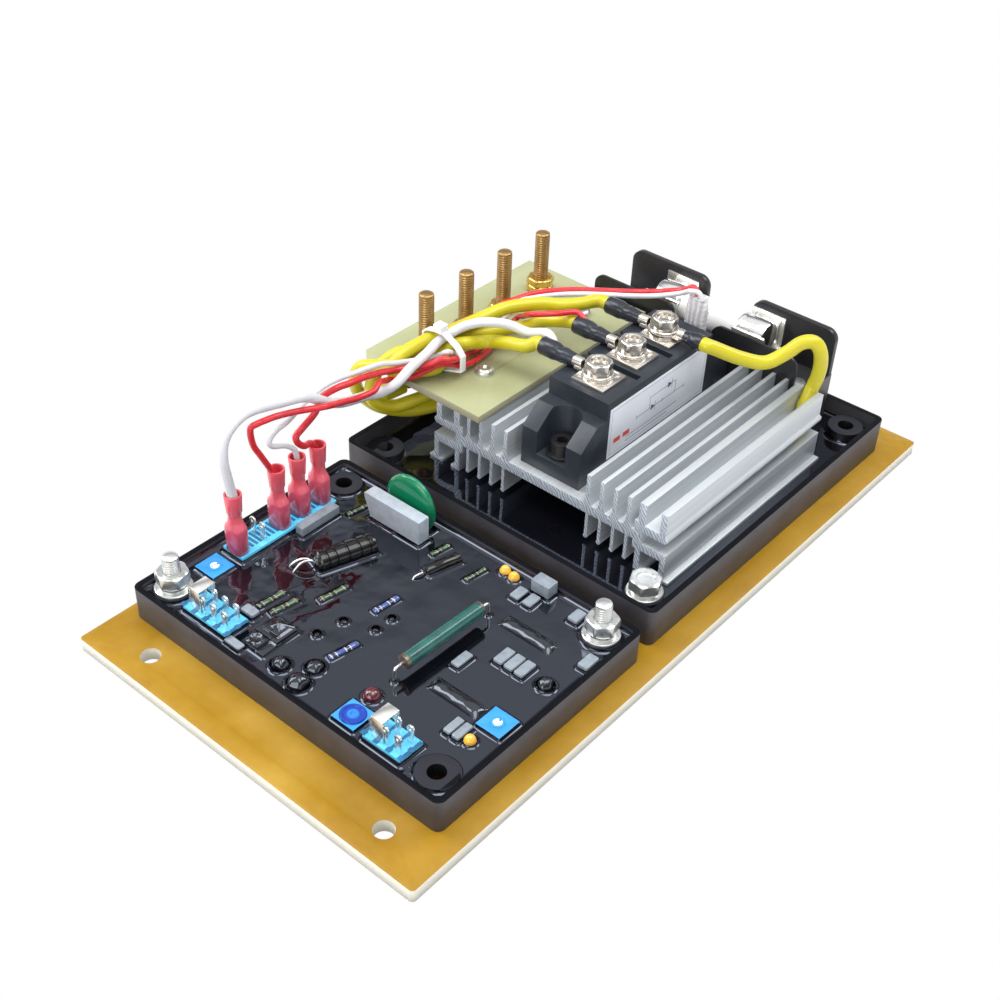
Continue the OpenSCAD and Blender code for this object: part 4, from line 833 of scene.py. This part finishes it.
bm = bmesh.new()
for x, y, r, h in DOMES:
    lathe(bm, [(0, 0)] + [(r * c, h * s) for c, s in ARC] + [(0, h)], (x, y, RESIN_Z), n=40,
          wobble=uneven(x * 1.7 + y))
piece("resin_dome_lumps", bm, "resin_lump", replaces=("resin_domes",))
bm = bmesh.new()
for x, y in BEADS:
    lathe(bm, [(0, 0)] + [(2.1 * min(1, c * 1.04), 3.2 * s) for c, s in ARC] + [(0, 3.2)], (x, y, RESIN_Z), n=28)
piece("bead_capacitors", bm, "tantalum_orange", replaces=("tantalum_beads",))


def sheet(bm, rows):
    """Rows of points in mm joined into an open net."""
    net = [[bm.verts.new(Vector(q) * MM) for q in row] for row in rows]
    for p, q in zip(net, net[1:]):
        for k in range(len(p) - 1):
            bm.faces.new((p[k], p[k + 1], q[k + 1], q[k]))


# long buried bodies that lift the resin's skin
bm = bmesh.new()
for cx, cy, hx, hy in ((39.3, -53.8, 11, 3.1), (41.1, -90.9, 10.4, 3.2)):
    rows = []
    for j in range(13):
        v = cos(pi * j / 12)
        row = []
        for i in range(25):
            u = -cos(pi * i / 24)
            z = RESIN_Z + 0.02 + 1.5 * (1 - u ** 8) * (1 - abs(v) ** 2.6)
            if 0 < i < 24:
                z += 0.12 * sin(1.3 * i + j) * (1 - v * v)
            row.append((cx + hx * u, cy + hy * v, z))
        rows.append(row)
    sheet(bm, rows)
piece("resin_ridge_skin", bm, "resin_lump", replaces=("resin_ridges",))
bm = bmesh.new()
lathe(bm, [(0, 0), (3, 0), (3, 0.5)] + [(3 * c, 0.5 + 3.1 * s) for c, s in ARC[1:]] + [(0, 3.6)], (*LAMP, RESIN_Z))
piece("lamp_lens", bm, "lamp_red", replaces=("indicator_lamp",))

# a dial in the place of the second trimmer's rotor, sized from it
corners = [Vector(c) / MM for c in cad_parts["trimmer_b_rotor"].bound_box]
lo, hi = ([pick(c[i] for c in corners) for i in range(3)] for pick in (min, max))
r, top = (hi[0] - lo[0]) / 2, hi[2]
bm = bmesh.new()
lathe(bm, [(0, top - 3), (r, top - 3), (r, top - 0.25), (r - 0.25, top), (r - 0.9, top), (r - 1.2, top - 0.3),
           (1.9, top - 0.3), (1.7, top - 0.1), (0.9, top - 0.1), (0.7, top - 0.4), (0, top - 0.4)],
      ((lo[0] + hi[0]) / 2, (lo[1] + hi[1]) / 2, 0), n=40)
piece("trimmer_b_dial", bm, "rotor_blue", body="rotor_b", replaces=("trimmer_b_rotor",))

# resin film drawn up in a tent over the transistor, with a round dimple in its front part
FILM_X0, FILM_X1, FILM_Y0, FILM_Y1, FILM_FOOT = -26.9, -15.7, -120.6, -104, 14.8
FILM_CELLS = 44


def film_height(x, y):
    tent = 19.7 - 0.62 * max(abs(x + 20.8), 0.95 * abs(y + 108.2))
    low = 16.95 - 1.3 * max(0, abs(x + 22.6) - 3.1) - 1.3 * max(0, abs(y + 116.6) - 2.6)
    r = hypot(x + 23, y + 116.4)
    low += 0.45 * exp(-((r - 2.2) / 0.5) ** 2) - 0.5 * exp(-(r / 1.4) ** 2)
    # the highest of tent, low part and floor, with rounded joins
    soft = 0.35
    top = soft * log(sum(exp(z / soft) for z in (tent, low, 15.6)))
    # falls to the foot, under the resin, within 0.8 mm of the rim
    inside = min(x - FILM_X0, FILM_X1 - x, y - FILM_Y0, FILM_Y1 - y, 0.8) / 0.8
    return FILM_FOOT + (top - FILM_FOOT) * sin(max(inside, 0) * pi / 2)


bm = bmesh.new()
xs, ys = ([a + (b - a) * k / FILM_CELLS for k in range(FILM_CELLS + 1)]
          for a, b in ((FILM_X0, FILM_X1), (FILM_Y0, FILM_Y1)))
sheet(bm, [[(x, y, film_height(x, y)) for x in xs] for y in ys])
bmesh.ops.edgeloop_fill(bm, edges=[e for e in bm.edges if e.is_boundary])
piece("transistor_film", bm, "resin_lump")

FUSE_CAP = ((0, 0), (0.8, 0), (0.95, 0.02), (1, 0.07), (1, 0.8), (0.985, 0.84), (1, 0.88), (1, 0.97),
            (0.97, 1), (0, 1))
bm = bmesh.new()
for end, mouth in ((-28.5, -16), (22.5, 10)):
    run(bm, (end, 110, 47.6), (mouth, 110, 47.6), scaled(FUSE_CAP, 6.9), n=48)
piece("fuse_end_caps", bm, "fuse_cap_metal", replaces=("fuse_caps",))

# ---- resin drawn up round what stands in it ----

# a quarter arc: share of the skirt's width and height
CREEP = tuple((1 - sin(radians(a)), 0.02 + 0.98 * (1 - cos(radians(a)))) for a in range(0, 91, 10))


def skirt_rect(bm, x0, x1, y0, y1, z, w, h, turn=0.0, inward=False):
    cx, cy, hx, hy = (x0 + x1) / 2, (y0 + y1) / 2, (x1 - x0) / 2, (y1 - y0) / 2
    ct, st = cos(turn), sin(turn)
    rows = []
    for o, t in CREEP:
        off = -o * w if inward else o * w
        r = max(off, 0) + (1.5 if inward else 0.3)
        row = []
        for q, (sx, sy) in enumerate(((1, 1), (-1, 1), (-1, -1), (1, -1))):
            for k in range(7):
                a = pi / 2 * (q + k / 6)
                px = sx * (hx + off - r) + r * cos(a)
                py = sy * (hy + off - r) + r * sin(a)
                row.append((cx + px * ct - py * st, cy + px * st + py * ct, z + t * h))
        rows.append(row)
    loft(bm, rows, close=False)


def skirt_along(bm, a, b, d, w, h):
    """Skirt round a part of the front tray that is d wide and lies from a to b."""
    (ax, ay), (bx, by) = a, b
    cx, cy, half = (ax + bx) / 2, (ay + by) / 2, hypot(bx - ax, by - ay) / 2
    skirt_rect(bm, cx - half, cx + half, cy - d / 2, cy + d / 2, RESIN_Z, w, h, turn=atan2(by - ay, bx - ax))


def skirt_round(bm, x, y, r, z, w, h):
    lathe(bm, [(r + o * w, z + t * h) for o, t in CREEP], (x, y, 0), n=36)


bm = bmesh.new()
skirt_rect(bm, -69.5, 65.5, -126, -31, RESIN_Z, 2.2, 1.3, inward=True)
skirt_rect(bm, -75.1, 64.5, -20.4, 131.4, REAR_RESIN_Z, 1.8, 1.2, inward=True)
for x in (-61.7, 57.7):
    for y in (-118.2, -38.8):
        skirt_round(bm, x, y, 6.9, RESIN_Z, 1.6, 1)
for x in (-66.3, 55.7):
    for y in (-12.1, 123.1):
        skirt_round(bm, x, y, 6.9, REAR_RESIN_Z, 1.7, 1.6)
for x, y in ((-60.6, -101.5), (23.2, -118.5), (58, -91.1)):
    skirt_rect(bm, x - 4.8, x + 4.8, y - 4.8, y + 4.8, RESIN_Z, 1.6, 1.2)
# the connectors, the film capacitor, the transistor, the varistor and the box capacitors
for plan, w, h in (((-65.5, -55.3, -93.5, -48.8), 1.8, 1.5), ((-52, -31, -122.5, -112.5), 1.8, 1.5),
                   ((31.7, 47.5, -123.2, -113), 1.8, 1.5), ((-41.3, -17, -46.3, -41), 1.6, 1.6),
                   ((-26.4, -15.9, -119.8, -104.6), 2, 1.1), ((-40.2, -19, -38.6, -34.6), 1.4, 1.6),
                   *((plan, 1.5, 1.3) for plan in BOX_CAPS)):
    skirt_rect(bm, *plan, RESIN_Z, w, h)
for a, b, d in RES:
    skirt_along(bm, a, b, d, 1.3, 0.9)
for a, b, d in CANS:
    skirt_along(bm, a, b, d, 1.7, 1.5)
for x, y, r in (*((x, y, r - 0.1) for x, y, r, _ in DOMES), *((*at, 2) for at in BEADS), (*LAMP, 2.9),
                (22.2, -99.2, 0.6), (23.5, -55.8, 0.6)):
    skirt_round(bm, x, y, r, RESIN_Z, 1.6, 1.3)
piece("resin_menisci", bm, "potting")

# ---- connector slots as painted shade, marks ----

# thin dark blue boxes laid on the connectors' tops stand for their slots and openings: painted shade where the holes
# are
bm = bmesh.new()
for xs, front in (((-52.3, -46.9, -41.5, -36.1, -31), -122.2), ((31.6, 36.8, 42, 47), -122.7)):
    for x in xs:
        for half, y0, y1, rise in ((0.55, 0.6, 9.4, 0.05), (1, -0.4, 1.4, 0.1), (1, 4.2, 5.8, 0.1)):
            box(bm, x - half, x + half, front + y0, front + y1, CONNECTOR_TOP - 0.05, CONNECTOR_TOP + rise)
for k in range(23):
    y = -93 + 1.95 * k
    box(bm, -64.4, -57.6, y, y + 1.15, CONNECTOR_TOP - 0.05, CONNECTOR_TOP + 0.06)
piece("connector_slot_shade", bm, "slot_painted_shade", slot="connector_cyan")


def stroke(bm, a, b, w, facing):
    """A flat bar w wide from a to b, in mm, that faces the given way."""
    a, b = Vector(a), Vector(b)
    d = (b - a).normalized() * (w / 2)
    side = facing.cross(d)
    bm.faces.new([bm.verts.new(q * MM) for q in (a - d - side, b + d - side, b + d + side, a - d + side)])


# lines of the studs' numbers, in a field 1 high, and the place of each
SEG = {"1": (((0.1, 0.8), (0.3, 1)), ((0.3, 1), (0.3, 0)), ((0.1, 0), (0.5, 0))),
       "2": (((0, 0.8), (0.1, 1)), ((0.1, 1), (0.45, 1)), ((0.45, 1), (0.55, 0.75)), ((0.55, 0.75), (0, 0)),
             ((0, 0), (0.55, 0))),
       "3": (((0, 1), (0.5, 1)), ((0.5, 1), (0.5, 0)), ((0.1, 0.52), (0.5, 0.52)), ((0, 0), (0.5, 0))),
       "4": (((0.4, 1), (0, 0.35)), ((0, 0.35), (0.6, 0.35)), ((0.4, 1), (0.4, 0)))}
DIGIT_H = 4.2
bm = bmesh.new()
for digit, (x, y) in zip("1234", ((-63.6, 12.2), (-62.2, 35.4), (-62, 58), (-61.4, 80.6))):
    for line in SEG[digit]:
        # a quarter turn clockwise, so that the digits stand up when seen from the left side
        a, b = ((x + v * DIGIT_H, y - u * DIGIT_H, PLATE_TOP + 0.03) for u, v in line)
        stroke(bm, a, b, 0.34, Vector((0, 0, 1)))
piece("stud_numbers", bm, "mark_white", slot="terminal_laminate")

# a plain two-thyristor schematic on the label, laid on its face; places are (y, z)
lx = max(c[0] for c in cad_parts["module_label"].bound_box) / MM + 0.03
bm = bmesh.new()
marks = bmesh.new()
for mesh, w, lines in (
        (bm, 0.22, (((36, 44), (66, 44)), ((44, 44), (44, 49)), ((44, 49), (60, 49)), ((60, 49), (60, 44)),
                    ((36, 43.2), (36, 44.8)), ((66, 43.2), (66, 44.8)), ((52, 43.2), (52, 44.8)),
                    ((47.5, 42.2), (47.5, 45.8)), ((57.5, 47.2), (57.5, 50.8)), ((30, 38.6), (62, 38.6)),
                    ((30, 36.9), (56, 36.9)))),
        (marks, 2, (((23.6, 40.4), (25.6, 40.4)), ((29.2, 40.4), (31.2, 40.4))))):
    for a, b in lines:
        stroke(mesh, (lx, *a), (lx, *b), w, Vector((1, 0, 0)))
for y, z in ((46.2, 44), (56.2, 49)):
    bm.faces.new([bm.verts.new(Vector((lx, *q)) * MM) for q in ((y - 1.3, z - 1.3), (y + 1.3, z), (y - 1.3, z + 1.3))])
piece("label_schematic", bm, "label_ink", slot="label_paper")
piece("label_marks", marks, "label_red", slot="label_paper")

# ---- floor, light and camera ----


def for_background(nt, others, seen):
    """A shader that is seen by camera, mirror and glass rays, and another for all other rays."""
    rays = nt.nodes.new("ShaderNodeLightPath").outputs
    mirror = calc(nt, "MAXIMUM", rays["Is Glossy Ray"], rays["Is Transmission Ray"])
    mix = nt.nodes.new("ShaderNodeMixShader")
    for sock, v in zip(mix.inputs, (calc(nt, "MAXIMUM", rays["Is Camera Ray"], mirror), others, seen)):
        nt.links.new(v, sock)
    return mix.outputs[0]


me = bpy.data.meshes.new("floor")
me.from_pydata([(x, y, -0.0004) for x, y in ((-6, -6), (6, -6), (6, 6), (-6, 6))], [], [(0, 1, 2, 3)])
floor = bpy.data.objects.new("floor", me)
scene.collection.objects.link(floor)
nt, sh = new_mat("floor_white")
c = ramp(nt, noise(nt, coords(nt), 3, 2), [(0.3, (0.9, 0.9, 0.905)), (0.7, (0.93, 0.93, 0.935))])
plug(nt, sh, {"Base Color": c, "Roughness": 0.6, "Emission Color": c, "Emission Strength": 0.2})
white = nt.nodes.new("ShaderNodeEmission")
white.inputs[0].default_value = (1, 1, 1, 1)
nt.links.new(for_background(nt, sh.outputs[0], white.outputs[0]), nt.nodes["Material Output"].inputs[0])
me.materials.append(M["floor_white"])

world = bpy.data.worlds.new("studio")
world.use_nodes = True
scene.world = world
nt = world.node_tree
nt.nodes.clear()
out = nt.nodes.new("ShaderNodeOutputWorld")
height = axis_of(nt, nt.nodes.new("ShaderNodeTexCoord").outputs["Generated"], 2)
skies = []
# what lights the part, and what camera, mirror and glass rays see: white low down and overhead,
# with a dim band between
for strength, stops in (
        (1.05, [(0, (0.3, 0.31, 0.33)), (0.5, (0.25, 0.26, 0.29)), (0.6, (0.42, 0.44, 0.5)),
                (0.76, (0.84, 0.87, 0.95)), (1, 1)]),
        (1, [(0.32, 1), (0.42, (0.25, 0.25, 0.28)), (0.58, (0.22, 0.22, 0.25)), (0.64, (0.46, 0.48, 0.52)),
               (0.7, (0.85, 0.87, 0.9)), (0.8, 1)])):
    sky = nt.nodes.new("ShaderNodeBackground")
    nt.links.new(ramp(nt, height, stops), sky.inputs[0])
    sky.inputs[1].default_value = strength
    skies.append(sky.outputs[0])
nt.links.new(for_background(nt, *skies), out.inputs[0])


def area(name, at, to, size, power, color=(1, 1, 1)):
    lt = bpy.data.lights.new(name, "AREA")
    lt.shape = "RECTANGLE"
    lt.size, lt.size_y = size
    lt.energy = power
    lt.color = color
    o = bpy.data.objects.new(name, lt)
    scene.collection.objects.link(o)
    o.location = at
    o.rotation_euler = (Vector(to) - Vector(at)).to_track_quat("-Z", "Y").to_euler()


area("key", (0.3, -0.05, 1.25), (0, 0, 0), (0.8, 0.8), 8)
area("rim_a", (-0.62, -0.3, 1.1), (-0.02, -0.02, 0), (0.5, 0.5), 4.5)
area("rim_b", (0.36, 0.8, 0.96), (0, 0.02, 0), (0.5, 0.5), 4.5)
area("fill", (0.1, -1.25, 0.6), (0, 0, 0.02), (0.9, 0.6), 6, (1, 0.99, 0.97))
area("left", (-1.1, -0.5, 0.7), (0, 0, 0.03), (0.7, 0.6), 8, (0.96, 0.98, 1))
area("side", (1.2, 0.3, 0.35), (0, 0, 0.03), (0.9, 0.4), 0.3, (0.94, 0.96, 1))

scene.view_settings.view_transform = "Standard"
scene.view_settings.look = "None"
# solved from the edges of the board and the trays in the photo
AZ, EL, ROLL = (radians(a) for a in (-50.9023, 38.1193, 2.5306))
TARGET, DISTANCE = Vector((-0.026183, 0.00838, 0.0004)), 0.554955
back = Vector((cos(EL) * cos(AZ), cos(EL) * sin(AZ), sin(EL)))
level = Vector((-sin(AZ), cos(AZ), 0))
rise = back.cross(level)
right = level * cos(ROLL) + rise * sin(ROLL)
up = rise * cos(ROLL) - level * sin(ROLL)
camera = bpy.data.cameras.new("photo_camera")
camera.sensor_width = 36
camera.lens = 52.17
camera.shift_x = 0.00104
camera.clip_start, camera.clip_end = 0.01, 30
cam = bpy.data.objects.new("photo_camera", camera)
scene.collection.objects.link(cam)
cam.matrix_world = Matrix((right, up, back)).transposed().to_4x4()
cam.location = TARGET + back * DISTANCE
scene.camera = cam
